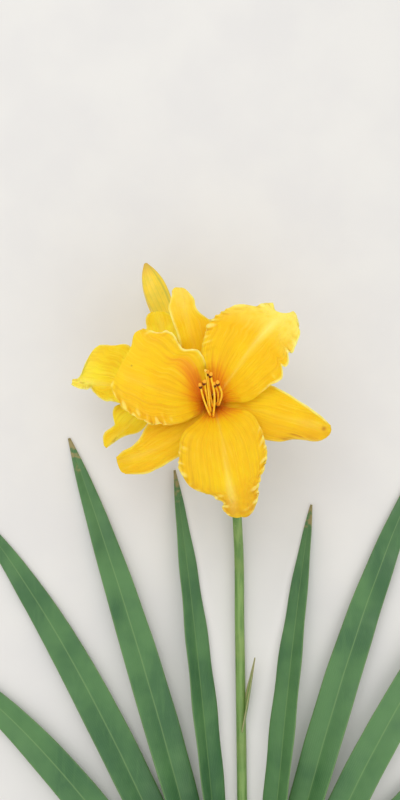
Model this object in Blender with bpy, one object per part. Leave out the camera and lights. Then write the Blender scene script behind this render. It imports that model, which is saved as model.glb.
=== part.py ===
"""A daylily plant in flower, cut through its crown and laid on a flat surface.

The fan of leaves and the scape spring from the cut crown at the -Y end and lie along +Y.
Near its top the scape forks under two open blooms, which face up (+Z), and it carries buds.
The surface that the plant lies on is z = 0, and the origin is the middle of its footprint.
Lengths are in millimetres from the spot on the surface under the front bloom's throat,
and become metres as each mesh is made.
"""

import math
from dataclasses import dataclass

import bmesh
import bpy
import numpy as np
from mathutils import Vector

MM = 0.001
# Where the front bloom's throat lies over the surface, from the middle of the plant.
BLOOM_X, BLOOM_Y = -21.8, 195.3
# What separates neighbouring pieces.
GAP = 0.3

# The tube that a bloom's six tepals grow together in.
TUBE_RADIUS = 4.4
TUBE_HEIGHT = 24
TUBE_FLOOR = 7
# Its sections down to the foot, outside and inside: the height and the radius, as shares of the whole.
TUBE_OUTSIDE = ((0.72, 0.93), (0.4, 0.8), (0.14, 0.66), (0, 0.6))
TUBE_INSIDE = ((0.6, 0.62), (TUBE_FLOOR / TUBE_HEIGHT, 0.36))

# Tepals. The flare is given at the stations, and the margins at theirs, by the share of the length.
TEPAL_THICKNESS = 0.8
STATIONS = (0, 0.1, 0.2, 0.35, 0.5, 0.7, 1)
MARGIN_STATIONS = (0.3, 0.4, 0.5, 0.6, 0.7, 0.8, 0.9, 0.96, 1)
NECK_SPAN = ((0, 30), (0.04, 28.2), (0.13, 28.2))
PETAL_FLARE = (0, 7, 14, 38, 63, 85, 108)
RAISED_FLARE = (0, 7, 13, 32, 53, 76, 96)
SEPAL_FLARE = (0, 15, 26, 52, 73, 87, 106)
FOLDED_FLARE = (0, 15, 28, 62, 90, 110, 125)
CURLED_FLARE = (0, 15, 32, 75, 115, 150, 172)
# How a tepal's rows crowd towards its tip, and how the turn of its midrib grows on the way there.
ROW_CROWDING = 1.15
SWEEP_GROWTH = ((0, 0), (0.25, 0.05), (1, 1))

# Ruffles: their length, how they grow from base to tip, and how the left margin's waves are shifted.
RUFFLE_LENGTH = 13
RUFFLE_GROWTH = ((0, 0), (0.3, 0), (0.45, 0.6), (0.6, 1), (0.9, 1), (1, 0.4))
RUFFLE_SHIFT = 1.7
TIP_RUFFLE = 0.3
TIP_GROWTH = ((0, 0), (0.8, 0), (1, 1))
ROLL_GROWTH = ((0, 0), (0.25, 0), (0.5, 1), (0.8, 0.6), (1, 0))

# Stamens. The filaments leave the column at its waist, and spread a little in the tube's mouth.
COLUMN_RADIUS = 1.15
COLUMN_HEIGHTS = (TUBE_FLOOR + GAP, 11, 16)
FILAMENT_START = 12.4
FILAMENT_SPREAD = (0.9, 1.7)
FILAMENT_RADIUS, STYLE_RADIUS = 0.5, 0.7
FILAMENT_TIP, STYLE_TIP = 0.42, 0.55
BELLY_SHARE = 0.33
ANTHER_LENGTH, ANTHER_RADIUS = 4.8, 1.1

# The crown, where the leaves and the scape grow together.
CROWN_X, CROWN_Y, CROWN_Z = 24, -487, 8.2
CROWN_LENGTH, CROWN_HALF_WIDTH, CROWN_HALF_HEIGHT = 14, 23.5, 9.4

# Leaves, by the share of their length: width, fold along the midrib and lean from on edge to flat.
LEAF_ROWS = 15
LEAF_THICKNESS = 1.0
LEAF_START = CROWN_Y + CROWN_LENGTH + 1.5 * GAP
INNERMOST_LEAF, LEAF_SPACING = 8.8, 2.8
LEAF_OUTLINE = ((0, 0.56), (0.15, 0.72), (0.35, 0.95), (0.5, 1), (0.7, 0.9), (0.85, 0.64), (0.95, 0.32),
                (1, 0.07))
LEAF_FOLD = ((0, 32), (0.3, 22), (0.7, 13), (1, 8))
LEAF_LEAN = ((0, 0), (0.12, 12), (0.3, 46), (0.5, 72), (1, 82))
QUARTERS = (0, 0.25, 0.5, 0.75, 1)

# Buds and bracts, by the share of their length.
BUD_PROFILE = ((0, 0.3), (0.06, 0.42), (0.25, 0.66), (0.5, 0.93), (0.68, 1), (0.82, 0.86), (0.93, 0.52),
               (1, 0.14))
BRACT_OUTLINE = ((0, 0.7), (0.25, 1), (0.5, 0.86), (0.75, 0.56), (0.93, 0.3), (1, 0.2))
BRACT_THICKNESS = 0.8
BRACT_FOLD = 34
# The straight end of a branch.
BRANCH_END = 3

PETAL_YELLOW = (0.92, 0.55, 0.02)
BUD_YELLOW = (0.80, 0.60, 0.05)
BUD_GREEN = (0.36, 0.46, 0.08)
STAMEN_YELLOW = (0.93, 0.50, 0.02)
SCAPE_GREEN = (0.13, 0.26, 0.06)
LEAF_GREEN = (0.06, 0.17, 0.04)
CROWN_WHITE = (0.66, 0.64, 0.42)


@dataclass
class Tepal:
    """One tepal, in the polar frame of its bloom, with angles in degrees.

    flare is how far the midrib leans out from the tube, and sweep how far its tip is turned.
    left and right are how far the margins lie from the midrib, round the bloom.
    ruffle is the height of the waves, and roll how far each margin is lifted.
    """

    kind: str
    azimuth: float
    sweep: float
    length: float
    flare: tuple
    left: tuple
    right: tuple
    ruffle: float
    phase: float
    roll: tuple = (0, 0)


@dataclass
class Bloom:
    """One open flower. Each of its filaments is given by its belly and its tip, from the foot of the tube."""

    name: str
    foot: tuple
    axis: tuple
    petal_grid: tuple
    sepal_grid: tuple
    tepals: tuple
    filaments: tuple
    style: tuple
    stamen_segments: int


@dataclass
class Bud:
    """One closed bud, along a path."""

    name: str
    stops: tuple
    radius: float
    sides: int
    color: tuple


@dataclass
class Leaf:
    """One strap leaf. heading is its angle out from +Y, and lift its height, both at the quarters."""

    side: int
    rank: int
    length: float
    width: float
    lean: float
    heading: tuple
    lift: tuple


FRONT = Bloom(
    name="front_bloom",
    foot=(0, 0, 38),
    axis=(0, 0, 1),
    petal_grid=(28, 8),
    sepal_grid=(16, 6),
    tepals=(
        Tepal("petal", 50, -1.1, 102.2, PETAL_FLARE, (52, 55, 57, 55, 46, 36, 20, 10, 4),
              (50, 51, 45, 36, 29, 21, 15, 10.5, 5), 1.9, 0.4),
        Tepal("sepal", 110, -4.9, 93.5, SEPAL_FLARE, (26, 24, 19, 12.5, 10, 9.5, 7.8, 5.5, 2.5),
              (26, 27, 26, 22.5, 17.5, 10, 6.2, 4.2, 1.8), 0.6, 2.0),
        Tepal("petal", 170, -7.4, 88.7, RAISED_FLARE, (50, 50, 48, 43, 36, 29, 20, 13.5, 7),
              (54, 58, 58, 57, 53, 49, 40, 35, 22), 1.7, 1.7, (0, 3)),
        Tepal("sepal", 230, -17.9, 88.3, SEPAL_FLARE, (26, 25, 22, 18.5, 16, 14, 12, 8.5, 3),
              (26, 26, 26, 25, 18.2, 9.5, 6, 3.5, 1.5), 0.6, 0.3),
        Tepal("petal", 290, -6.5, 103.2, PETAL_FLARE, (54, 58, 55, 43, 33, 19, 12, 8, 4),
              (54, 58, 62, 53, 43, 28.5, 11, 7, 3), 1.9, 3.1),
        Tepal("sepal", 350, -3.4, 96.2, SEPAL_FLARE, (24, 28, 29, 26, 16, 9, 5.8, 3.2, 1.5),
              (24, 25, 25, 24, 18, 11.5, 8.8, 6.2, 2.5), 0.6, 1.1),
    ),
    filaments=(
        ((4.4, -1.6, 57), (-0.9, 16.9, 73)),
        ((2.2, -0.6, 54), (1.4, 10.8, 69)),
        ((-1.2, -1.3, 56), (-4.8, 12.5, 71)),
        ((-2.6, -6.6, 57), (-7.4, 10.2, 69)),
        ((2.5, -7.8, 58), (-2.9, 18.8, 71)),
        ((6.2, -3.2, 56), (3.7, 12.1, 71)),
    ),
    style=((0, 0, 9), (0, -0.2, 24), (0, -3.8, 44), (0, -9.4, 61), (-6, 21.8, 77)),
    stamen_segments=8,
)

BACK = Bloom(
    name="back_bloom",
    foot=(-27, 6, 13),
    axis=(-0.24, 0.08, 0.97),
    petal_grid=(19, 6),
    sepal_grid=(12, 4),
    tepals=(
        Tepal("petal", 60, 26, 67, PETAL_FLARE, (52, 56, 56, 45, 32, 21, 12, 8, 4),
              (45, 48, 40, 34, 28, 22, 16, 12, 4), 1.7, 0.9),
        Tepal("sepal", 120, 12, 60, CURLED_FLARE, (26, 27, 26, 24, 21, 17, 11, 7, 2),
              (26, 27, 26, 24, 21, 17, 11, 7, 2), 0.5, 2.6),
        Tepal("petal", 180, -4.3, 74.1, PETAL_FLARE, (50, 52, 44, 25, 17, 8, 5, 4, 2),
              (52, 56, 58, 58, 54, 40, 21, 8, 3), 1.7, 2.1),
        Tepal("sepal", 240, -10.3, 63.1, SEPAL_FLARE, (26, 28, 26, 19, 11, 5, 3, 2, 1),
              (26, 28, 28, 28, 21, 12, 9, 5, 1.5), 0.5, 1.3),
        Tepal("petal", 300, 0, 64, PETAL_FLARE, (50, 50, 40, 30, 24, 18, 12, 8, 3),
              (52, 54, 46, 38, 29, 21, 13, 9, 4), 1.7, 3.5),
        Tepal("sepal", 0, 16, 66, FOLDED_FLARE, (26, 27, 26, 24, 21, 17, 11, 7, 2),
              (26, 24, 18, 15, 13, 11, 8, 5, 2), 0.5, 0.1),
    ),
    filaments=(
        ((4.4, -1.6, 45), (-0.9, 10.5, 57)),
        ((2.2, -0.6, 44), (1.4, 6, 53)),
        ((-1.2, -1.3, 45), (-4.8, 8.5, 54)),
        ((-2.6, -4.4, 45), (-7.4, 6.2, 53)),
        ((2.4, -5.2, 46), (-3.2, 13, 55)),
        ((5.8, -2.4, 45), (4.7, 8.1, 54)),
    ),
    style=((0, 0, 9), (0, -0.2, 24), (0, -3, 38), (0, -6.4, 50), (-4, 15.5, 62)),
    stamen_segments=6,
)

BUDS = (
    Bud("large_bud", ((-23, 26, 27), (-29, 47, 33), (-37.5, 73, 36.5), (-45.5, 96, 39)), 8.4, 12, BUD_YELLOW),
    Bud("middle_bud", ((15, 1, 33.5), (22, 8, 38), (30, 15, 41), (39, 22, 43)), 5.2, 9, BUD_GREEN),
    Bud("small_bud", ((18.5, -21, 25.5), (23, -17, 28), (29, -12, 30)), 3.4, 8, BUD_GREEN),
    Bud("tiny_bud", ((1, -29, 19), (-3, -33, 20.5), (-8, -37, 21)), 2.6, 7, BUD_GREEN),
)

LEAVES = (
    Leaf(-1, 0, 425, 24, 0.58, (2.5, 5, 5.5, 6.5, 8), (0.4, 5, 9, 3, 2)),
    Leaf(1, 0, 400, 24, 0.55, (2.5, 5, 5.5, 7, 9), (0.4, 6, 11, 4, 0.5)),
    Leaf(-1, 1, 462, 26, 0.96, (4, 12, 15.5, 18, 20), (0.4, 5, 12, 8, 0.4)),
    Leaf(1, 1, 455, 26, 0.94, (4, 12, 16, 20, 25), (0.4, 4, 10, 5, 0)),
    Leaf(-1, 2, 440, 27, 1, (6, 20, 26, 31, 38), (0.4, 4, 9, 3, 0)),
    Leaf(1, 2, 430, 26, 1, (6, 20, 27, 33, 43), (0.4, 6, 13, 9, 0.6)),
    Leaf(-1, 3, 375, 26, 1, (8, 28, 38, 46, 56), (0.4, 5, 11, 6, 0.5)),
    Leaf(1, 3, 350, 25, 1, (8, 29, 40, 50, 62), (0.4, 4, 8, 3, 0)),
    Leaf(-1, 4, 290, 23, 1, (10, 36, 53, 66, 80), (0.4, 3, 7, 2, 0)),
)

# The trunk of the scape, then its branches: what each carries, its path to there, and its radius at each end.
TRUNK = ((24, -472.4, 6.4), (24, -445, 5.4), (23, -300, 5.2), (21, -160, 5.2), (20, -100, 8), (15, -48, 16),
         (6, -16, 22), (2, -7, 27))
TRUNK_RADII = (4.0, 3.3)
BRANCHES = (
    (FRONT, ((4.5, -12, 23), (1.2, -4, 29.5), (0.1, -0.6, 34.5)), 3.0, 2.4),
    (BACK, ((8, -22, 20), (-7, -16, 12), (-18, -9, 7), (-25, -1, 6)), 2.9, 2.3),
    (BUDS[0], ((4, -11, 24), (-6, 4, 21), (-15, 16, 21.5), (-21, 22.5, 24)), 2.7, 2.2),
    (BUDS[1], ((5, -13, 24), (9, -6, 28), (13, -1, 31.5)), 2.2, 1.5),
    (BUDS[2], ((10, -30, 18), (14, -26, 22), (17, -22.6, 24.4)), 2.0, 1.1),
    (BUDS[3], ((12, -38, 17), (6, -32, 18), (2.6, -28.6, 18.2)), 1.8, 0.8),
)

# Bracts: the path of the midrib, the greatest width, and the way that the inner face looks.
BRACTS = (
    (((23.2, -238, 6.8), (26.4, -222, 8), (29, -205, 9.5), (32, -184, 11)), 9, (-1, 0, 0.2)),
    (((14, -46, 15), (10.5, -37, 11.5), (5, -26, 10.5), (-1, -14, 11.5)), 12, (0, 0, 1)),
    (((11, -33, 20.5), (14, -24, 25.5), (19, -12, 29), (26, 2, 30)), 10, (-1, 0.6, -0.2)),
)


def smooth_value(stops, at):
    """A smooth curve through (place, value) stops, read at each place in at."""
    places = np.array([stop[0] for stop in stops], float)
    values = np.array([stop[1] for stop in stops], float)
    slopes = np.gradient(values, places)
    at = np.clip(np.asarray(at, float), places[0], places[-1])
    left = np.clip(np.searchsorted(places, at, side="right") - 1, 0, len(places) - 2)
    step = places[left + 1] - places[left]
    u = (at - places[left]) / step
    return (
        values[left] * (1 + 2 * u) * (1 - u) ** 2
        + values[left + 1] * (3 - 2 * u) * u**2
        + slopes[left] * step * u * (1 - u) ** 2
        - slopes[left + 1] * step * (1 - u) * u**2
    )


def smooth_path(points, count):
    """count points, evenly spread, on a smooth curve through the given points."""
    points = np.array(points, float)
    chord = np.r_[0, np.cumsum(np.linalg.norm(np.diff(points, axis=0), axis=1))]
    at = np.linspace(0, chord[-1], count)
    return np.stack([smooth_value(list(zip(chord, points[:, axis])), at) for axis in range(3)], axis=1)


def running_sum(values, step):
    """The integral of the values, from 0 at the first."""
    return np.r_[0, np.cumsum((values[1:] + values[:-1]) / 2 * step)]


def unit(vectors):
    """The vectors, each made one unit long."""
    return vectors / np.maximum(np.linalg.norm(vectors, axis=-1, keepdims=True), 1e-12)


def surface_normals(surface):
    """The unit normal at each point of a grid of points."""
    return unit(np.cross(np.gradient(surface, axis=0), np.gradient(surface, axis=1)))


class Solid:
    """Points and triangles gathered for one mesh."""

    def __init__(self):
        self.points = []
        self.faces = []

    def add(self, points):
        """Adds points, and returns their indices in the shape of the given grid."""
        points = np.asarray(points, float)
        first = len(self.points)
        self.points.extend(points.reshape(-1, 3))
        return np.arange(first, len(self.points)).reshape(points.shape[:-1])

    def grid(self, index, outward=True):
        """Two triangles for each cell of a grid, cut along the same diagonal everywhere."""
        corners = index[:-1, :-1], index[:-1, 1:], index[1:, 1:], index[1:, :-1]
        for a, b, c, d in zip(*(corner.flat for corner in corners)):
            self.faces += [(a, d, c), (a, c, b)] if outward else [(a, c, d), (a, b, c)]

    def cap(self, ring, outward=True):
        """Closes a ring of points on its middle."""
        middle = self.add(np.mean([self.points[vertex] for vertex in ring], axis=0)[None])[0]
        for a, b in zip(ring, np.roll(ring, -1)):
            self.faces.append((middle, a, b) if outward else (middle, b, a))

    def sheet(self, surface, thickness, open_base=False):
        """A sheet about its middle surface. Both faces are cut into triangles alike."""
        push = surface_normals(surface) * thickness / 2
        inner = self.add(surface + push)
        outer = self.add(surface - push)
        self.grid(inner)
        self.grid(outer, outward=False)
        self.grid(np.stack([outer[:, 0], inner[:, 0]], axis=1))
        self.grid(np.stack([inner[:, -1], outer[:, -1]], axis=1))
        self.grid(np.stack([inner[-1], outer[-1]], axis=0))
        if not open_base:
            self.grid(np.stack([outer[0], inner[0]], axis=0))
        return inner, outer

    def rings(self, rings, outward=True):
        """Joins rings of points into a sleeve."""
        index = self.add(np.array(rings))
        self.grid(np.concatenate([index, index[:, :1]], axis=1), outward)
        return index

    def rod(self, path, radii, sides, flatten=1.0):
        """A round rod along a path, closed at both ends. flatten squeezes its section."""
        tangents = unit(np.gradient(path, axis=0))
        side = np.cross(tangents[0], (0, 0, 1) if abs(tangents[0][2]) < 0.7 else (0, 1, 0))
        angle = np.arange(sides) * 2 * math.pi / sides
        rings = []
        for point, tangent, radius in zip(path, tangents, radii):
            side = unit(side - np.dot(side, tangent) * tangent)
            top = flatten * np.cross(tangent, side)
            rings.append(point + radius * (np.outer(np.cos(angle), side) + np.outer(np.sin(angle), top)))
        index = self.rings(rings, outward=False)
        self.cap(index[0], outward=False)
        self.cap(index[-1])

    def to_object(self, name, parent, look=None):
        """One Blender object, with points that coincide joined."""
        mesh = bpy.data.meshes.new(name)
        mesh.from_pydata((np.array(self.points) * MM).tolist(), [], np.array(self.faces).tolist())
        work = bmesh.new()
        work.from_mesh(mesh)
        bmesh.ops.remove_doubles(work, verts=work.verts, dist=1e-6)
        work.to_mesh(mesh)
        work.free()
        mesh.shade_smooth()
        made = bpy.data.objects.new(name, mesh)
        made.parent = parent
        bpy.context.scene.collection.objects.link(made)
        if look:
            mesh.materials.append(look)
        return made


def material(name, color, roughness):
    """A plain material."""
    made = bpy.data.materials.new(name)
    made.use_nodes = True
    shader = made.node_tree.nodes["Principled BSDF"]
    shader.inputs["Base Color"].default_value = (*color, 1)
    shader.inputs["Roughness"].default_value = roughness
    shader.inputs["Metallic"].default_value = 0
    return made


def empty(name, parent=None, at=(0, 0, 0), axis=(0, 0, 1)):
    """A frame for other objects, with its +Z along axis."""
    made = bpy.data.objects.new(name, None)
    made.parent = parent
    made.location = Vector(at) * MM
    made.rotation_mode = "QUATERNION"
    made.rotation_quaternion = Vector((0, 0, 1)).rotation_difference(Vector(axis).normalized())
    bpy.context.scene.collection.objects.link(made)
    return made


def joined(name, pieces, look):
    """One body from pieces that overlap. The first keeps its place, and the others go."""
    body, *rest = pieces
    group = bpy.data.collections.new(name)
    for piece in rest:
        group.objects.link(piece)
    union = body.modifiers.new("union", "BOOLEAN")
    union.operation = "UNION"
    union.solver = "EXACT"
    union.operand_type = "COLLECTION"
    union.collection = group
    graph = bpy.context.evaluated_depsgraph_get()
    mesh = bpy.data.meshes.new_from_object(body.evaluated_get(graph))
    body.modifiers.clear()
    body.data = mesh
    body.name = name
    mesh.name = name
    mesh.materials.clear()
    mesh.materials.append(look)
    for piece in rest:
        bpy.data.objects.remove(piece)
    bpy.data.collections.remove(group)
    return body


def single_rod(name, parent, path, radii, sides, look=None, flatten=1.0):
    """A rod as an object of its own."""
    solid = Solid()
    solid.rod(path, radii, sides, flatten)
    return solid.to_object(name, parent, look)


def midrib(tepal, s):
    """The midrib's distance from the tube's axis, its height over the foot and its azimuth, at each share."""
    fine = np.linspace(0, 1, 401)
    flare = np.radians(smooth_value(list(zip(STATIONS, tepal.flare)), fine))
    step = tepal.length / (len(fine) - 1)
    reach = TUBE_RADIUS + running_sum(np.sin(flare), step)
    height = TUBE_HEIGHT + running_sum(np.cos(flare), step)
    azimuth = np.radians(tepal.azimuth + tepal.sweep * smooth_value(SWEEP_GROWTH, s))
    return np.interp(s, fine, reach), np.interp(s, fine, height), azimuth


def ripples(tepal, s, t):
    """How far the ruffles lift the surface of a tepal. They grow towards its margins and its tip."""
    shift = np.where(t > 0, RUFFLE_SHIFT, 0)
    wave = np.sin(2 * math.pi * s * tepal.length / RUFFLE_LENGTH + tepal.phase + shift)
    along = smooth_value(RUFFLE_GROWTH, s) * np.abs(t) ** 2.5 * wave
    at_tip = TIP_RUFFLE * smooth_value(TIP_GROWTH, s) * np.sin(2 * math.pi * t + tepal.phase)
    roll = np.where(t > 0, tepal.roll[0], tepal.roll[1]) * smooth_value(ROLL_GROWTH, s) * np.abs(t) ** 3
    return tepal.ruffle * (along + at_tip) + roll


def tepal_surface(tepal, rows, columns):
    """A tepal's middle surface in its bloom's frame: the tube's axis is +Z, and its foot is the origin."""
    s = 1 - (1 - np.linspace(0, 1, rows + 1)) ** ROW_CROWDING
    reach, height, azimuth = midrib(tepal, s)
    left = smooth_value(NECK_SPAN + tuple(zip(MARGIN_STATIONS, tepal.left)), s)
    right = smooth_value(NECK_SPAN + tuple(zip(MARGIN_STATIONS, tepal.right)), s)
    t = np.linspace(-1, 1, columns + 1)[None, :]
    angle = azimuth[:, None] + t * np.radians(np.where(t > 0, left[:, None], right[:, None]))
    flat = reach[:, None, None] * np.stack([np.cos(angle), np.sin(angle)], axis=2)
    surface = np.concatenate([flat, np.broadcast_to(height[:, None, None], angle.shape + (1,))], axis=2)
    return surface + surface_normals(surface) * ripples(tepal, s[:, None], t)[..., None]


def perianth(bloom, frame, look):
    """The tube and its six tepals, grown together in one body."""
    solid = Solid()
    inner_rim, outer_rim = [], []
    for tepal in bloom.tepals:
        rows, columns = bloom.petal_grid if tepal.kind == "petal" else bloom.sepal_grid
        surface = tepal_surface(tepal, rows, columns)
        inner, outer = solid.sheet(surface, TEPAL_THICKNESS, open_base=True)
        outwards = unit(surface[0] * (1, 1, 0)) * TEPAL_THICKNESS / 2
        for vertex, point in zip(inner[0], surface[0] - outwards):
            solid.points[vertex] = point
        for vertex, point in zip(outer[0], surface[0] + outwards):
            solid.points[vertex] = point
        inner_rim.extend((surface[0] - outwards)[:-1])
        outer_rim.extend((surface[0] + outwards)[:-1])
    radial = unit(np.array(outer_rim) * (1, 1, 0))
    for rim, sections, outward in ((outer_rim, TUBE_OUTSIDE, True), (inner_rim, TUBE_INSIDE, False)):
        rings = [radial * TUBE_RADIUS * size + (0, 0, TUBE_HEIGHT * height) for height, size in sections]
        index = solid.rings([np.array(rim)] + rings, outward)
        solid.cap(index[-1], not outward)
    return solid.to_object(bloom.name, frame, look)


def filament_path(number, belly, tip, segments):
    """A filament's path from the column through the tube's mouth, down to its belly and up to its tip."""
    turn = math.radians(60 * number + 30)
    way = np.array([math.cos(turn), math.sin(turn), 0])
    root, mouth = (way * spread for spread in FILAMENT_SPREAD)
    halfway = way + np.array([BELLY_SHARE * belly[0], BELLY_SHARE * belly[1], (TUBE_HEIGHT + belly[2]) / 2])
    stops = (root + (0, 0, FILAMENT_START), mouth + (0, 0, TUBE_HEIGHT), halfway, belly, tip)
    return smooth_path(stops, segments + 1)


def stamens(bloom, frame, look):
    """The six stamens and the style of a bloom, which rise from one short column in its tube."""
    column = np.array([(0, 0, height) for height in COLUMN_HEIGHTS])
    pieces = [single_rod("column", frame, column, np.array((0.8, 1, 1)) * COLUMN_RADIUS, 8)]
    count = bloom.stamen_segments + 2
    style = smooth_path(bloom.style, count)
    pieces.append(single_rod("style", frame, style, np.linspace(STYLE_RADIUS, STYLE_TIP, count), 5))
    for number, (belly, tip) in enumerate(bloom.filaments):
        path = filament_path(number, belly, tip, bloom.stamen_segments)
        taper = np.linspace(FILAMENT_RADIUS, FILAMENT_TIP, len(path))
        pieces.append(single_rod("filament", frame, path, taper, 5))
        lie = unit(np.cross(path[-1] - path[-2], (0.3 * (-1) ** number, 1, 0.2)))
        anther = path[-1] + np.outer((-0.5, -0.3, 0.3, 0.5), lie) * ANTHER_LENGTH
        pieces.append(single_rod("anther", frame, anther, np.array((0.4, 1, 1, 0.4)) * ANTHER_RADIUS, 6))
    return joined(bloom.name + "_stamens", pieces, look)


def folded_blade(spine, across, inward, half_width, fold, columns=4):
    """The middle surface of a blade that is folded along its midrib, by fold degrees on each side."""
    reach = half_width[:, None] * np.linspace(-1, 1, columns + 1)
    rise = np.abs(reach) * np.tan(np.radians(fold))[:, None]
    return spine[:, None] + reach[..., None] * across[:, None] + rise[..., None] * inward[:, None]


def leaf_surface(leaf, rows):
    """A leaf's middle surface. It leaves the crown on edge, then leans out until its inner face looks up."""
    s = np.linspace(0, 1, rows + 1)
    fine = np.linspace(0, 1, 401)
    turned = np.radians(smooth_value(list(zip(QUARTERS, leaf.heading)), fine))
    step = leaf.length / (len(fine) - 1)
    sideways = INNERMOST_LEAF + LEAF_SPACING * leaf.rank + running_sum(np.sin(turned), step)
    forward = LEAF_START + running_sum(np.cos(turned), step)
    heading = np.interp(s, fine, turned)
    outward = np.stack([leaf.side * np.cos(heading), -np.sin(heading), np.zeros_like(s)], axis=1)
    up = np.array([0.0, 0.0, 1.0])
    lean = np.radians(leaf.lean * smooth_value(LEAF_LEAN, s))[:, None]
    across = np.cos(lean) * up + np.sin(lean) * outward
    inward = np.sin(lean) * up - np.cos(lean) * outward
    spine_x = CROWN_X + leaf.side * np.interp(s, fine, sideways)
    spine = np.stack([spine_x, np.interp(s, fine, forward), np.zeros_like(s)], axis=1)
    half_width = smooth_value(LEAF_OUTLINE, s) * leaf.width / 2
    surface = folded_blade(spine, across, inward, half_width, smooth_value(LEAF_FOLD, s))
    lift = smooth_value(list(zip(QUARTERS, leaf.lift)), s) + LEAF_THICKNESS / 2
    surface[..., 2] += (lift - surface[..., 2].min(axis=1))[:, None]
    return surface


def bract(plant, stops, width, facing):
    """A short pointed blade that clasps the scape."""
    spine = smooth_path(stops, 9)
    along = unit(np.gradient(spine, axis=0))
    inward = unit(np.array(facing) - (along @ np.array(facing))[:, None] * along)
    s = np.linspace(0, 1, len(spine))
    half_width = smooth_value(BRACT_OUTLINE, s) * width / 2
    fold = np.full(len(s), BRACT_FOLD)
    solid = Solid()
    solid.sheet(folded_blade(spine, np.cross(along, inward), inward, half_width, fold), BRACT_THICKNESS)
    return solid.to_object("bract", plant)


def bud_path(bud):
    """The axis of a bud, from its base to its tip."""
    return smooth_path(bud.stops, 9)


def branch_path(carried, stops):
    """A branch's path. It ends square to what it carries, a small gap short of it."""
    if isinstance(carried, Bud):
        base, above = bud_path(carried)[:2]
        axis = unit(above - base)
    else:
        base, axis = np.array(carried.foot, float), unit(np.array(carried.axis, float))
    path = smooth_path(tuple(stops) + (base - axis * GAP,), 7)
    path[-2:] = base - axis * BRANCH_END, base - axis * GAP
    return path


def scape(plant, look):
    """The flower stem: its trunk, a branch for each bloom and bud, and the bracts, in one body."""
    trunk = smooth_path(TRUNK, 14)
    pieces = [single_rod("trunk", plant, trunk, np.linspace(*TRUNK_RADII, len(trunk)), 9)]
    for carried, stops, first, last in BRANCHES:
        path = branch_path(carried, stops)
        pieces.append(single_rod("branch", plant, path, np.linspace(first, last, len(path)), 7))
    pieces += [bract(plant, *spec) for spec in BRACTS]
    return joined("scape", pieces, look)


def crown(plant, look):
    """The short crown that the fan and the scape grow from, cut flat behind and flat underneath."""
    path = np.array((CROWN_X, CROWN_Y, CROWN_Z)) + np.outer((0, 0.5, 1), (0, CROWN_LENGTH, 0))
    radii = np.array((0.96, 1, 0.94)) * CROWN_HALF_WIDTH
    solid = Solid()
    solid.rod(path, radii, 24, CROWN_HALF_HEIGHT / CROWN_HALF_WIDTH)
    solid.points = [np.maximum(point, (-np.inf, -np.inf, 0)) for point in solid.points]
    return solid.to_object("crown", plant, look)


def main():
    for found in list(bpy.data.objects):
        bpy.data.objects.remove(found)
    plant = empty("plant", at=(BLOOM_X, BLOOM_Y, 0))
    crown(plant, material("crown", CROWN_WHITE, 0.6))
    scape(plant, material("scape", SCAPE_GREEN, 0.45))
    for number, leaf in enumerate(LEAVES, 1):
        name = f"leaf_{number:02d}"
        blade = Solid()
        blade.sheet(leaf_surface(leaf, LEAF_ROWS), LEAF_THICKNESS)
        blade.to_object(name, plant, material(name, LEAF_GREEN, 0.42))
    for bud in BUDS:
        path = bud_path(bud)
        swell = bud.radius * smooth_value(BUD_PROFILE, np.linspace(0, 1, len(path)))
        single_rod(bud.name, plant, path, swell, bud.sides, material(bud.name, bud.color, 0.5))
    for bloom in (FRONT, BACK):
        frame = empty(bloom.name + "_foot", plant, bloom.foot, bloom.axis)
        perianth(bloom, frame, material(bloom.name, PETAL_YELLOW, 0.55))
        stamens(bloom, frame, material(bloom.name + "_stamens", STAMEN_YELLOW, 0.5))


main()
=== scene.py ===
"""The looks of a daylily plant in flower, which lies cut on a pale surface and is seen from straight above.

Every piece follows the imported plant. Lengths are in millimetres from the spot on the surface under the front
bloom's throat, and become metres as each mesh is made. Colours are linear. A curve is written as text, with
each of its stops as place:value.
"""

import math
from collections import namedtuple

import bmesh
import bpy
import numpy as np
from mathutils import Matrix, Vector
from numpy import array, clip, cos, exp, interp, linspace, pi, sin, stack, where


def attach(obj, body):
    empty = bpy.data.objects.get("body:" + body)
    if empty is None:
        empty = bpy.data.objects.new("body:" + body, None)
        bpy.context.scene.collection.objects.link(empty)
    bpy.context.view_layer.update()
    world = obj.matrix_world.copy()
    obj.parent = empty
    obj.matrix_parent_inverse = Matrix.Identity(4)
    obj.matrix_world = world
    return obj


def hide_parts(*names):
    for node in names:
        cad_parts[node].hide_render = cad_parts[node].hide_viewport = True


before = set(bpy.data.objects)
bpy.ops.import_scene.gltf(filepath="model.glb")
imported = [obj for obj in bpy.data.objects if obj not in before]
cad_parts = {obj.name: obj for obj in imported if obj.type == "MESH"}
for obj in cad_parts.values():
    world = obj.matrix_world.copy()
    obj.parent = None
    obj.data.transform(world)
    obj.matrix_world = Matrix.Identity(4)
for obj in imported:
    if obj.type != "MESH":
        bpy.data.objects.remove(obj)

MM = 0.001
BODY = "root"
BLOOM_X, BLOOM_Y = -21.8, 195.3
GAP = 0.3

# The photograph: its size in pixels, millimetres of the petals for one pixel, and the throat's pixel.
PHOTO_WIDTH, PHOTO_HEIGHT = 400, 800
MM_PER_PIXEL = 0.636
THROAT_PIXEL = (212, 402)
PETAL_PLANE = 103
LENS, SENSOR = 50, 36

# The tube of a bloom, and the sections of its outer and inner wall, as shares of its height and radius.
TUBE_RADIUS, TUBE_HEIGHT, TUBE_FLOOR = 4.4, 24, 7
TUBE_OUTSIDE = ((1, 1.09), (0.72, 0.93), (0.4, 0.8), (0.14, 0.66), (0, 0.6))
TUBE_INSIDE = ((1, 0.91), (0.6, 0.62), (TUBE_FLOOR / TUBE_HEIGHT, 0.36))
TUBE_ROWS = 14

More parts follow.
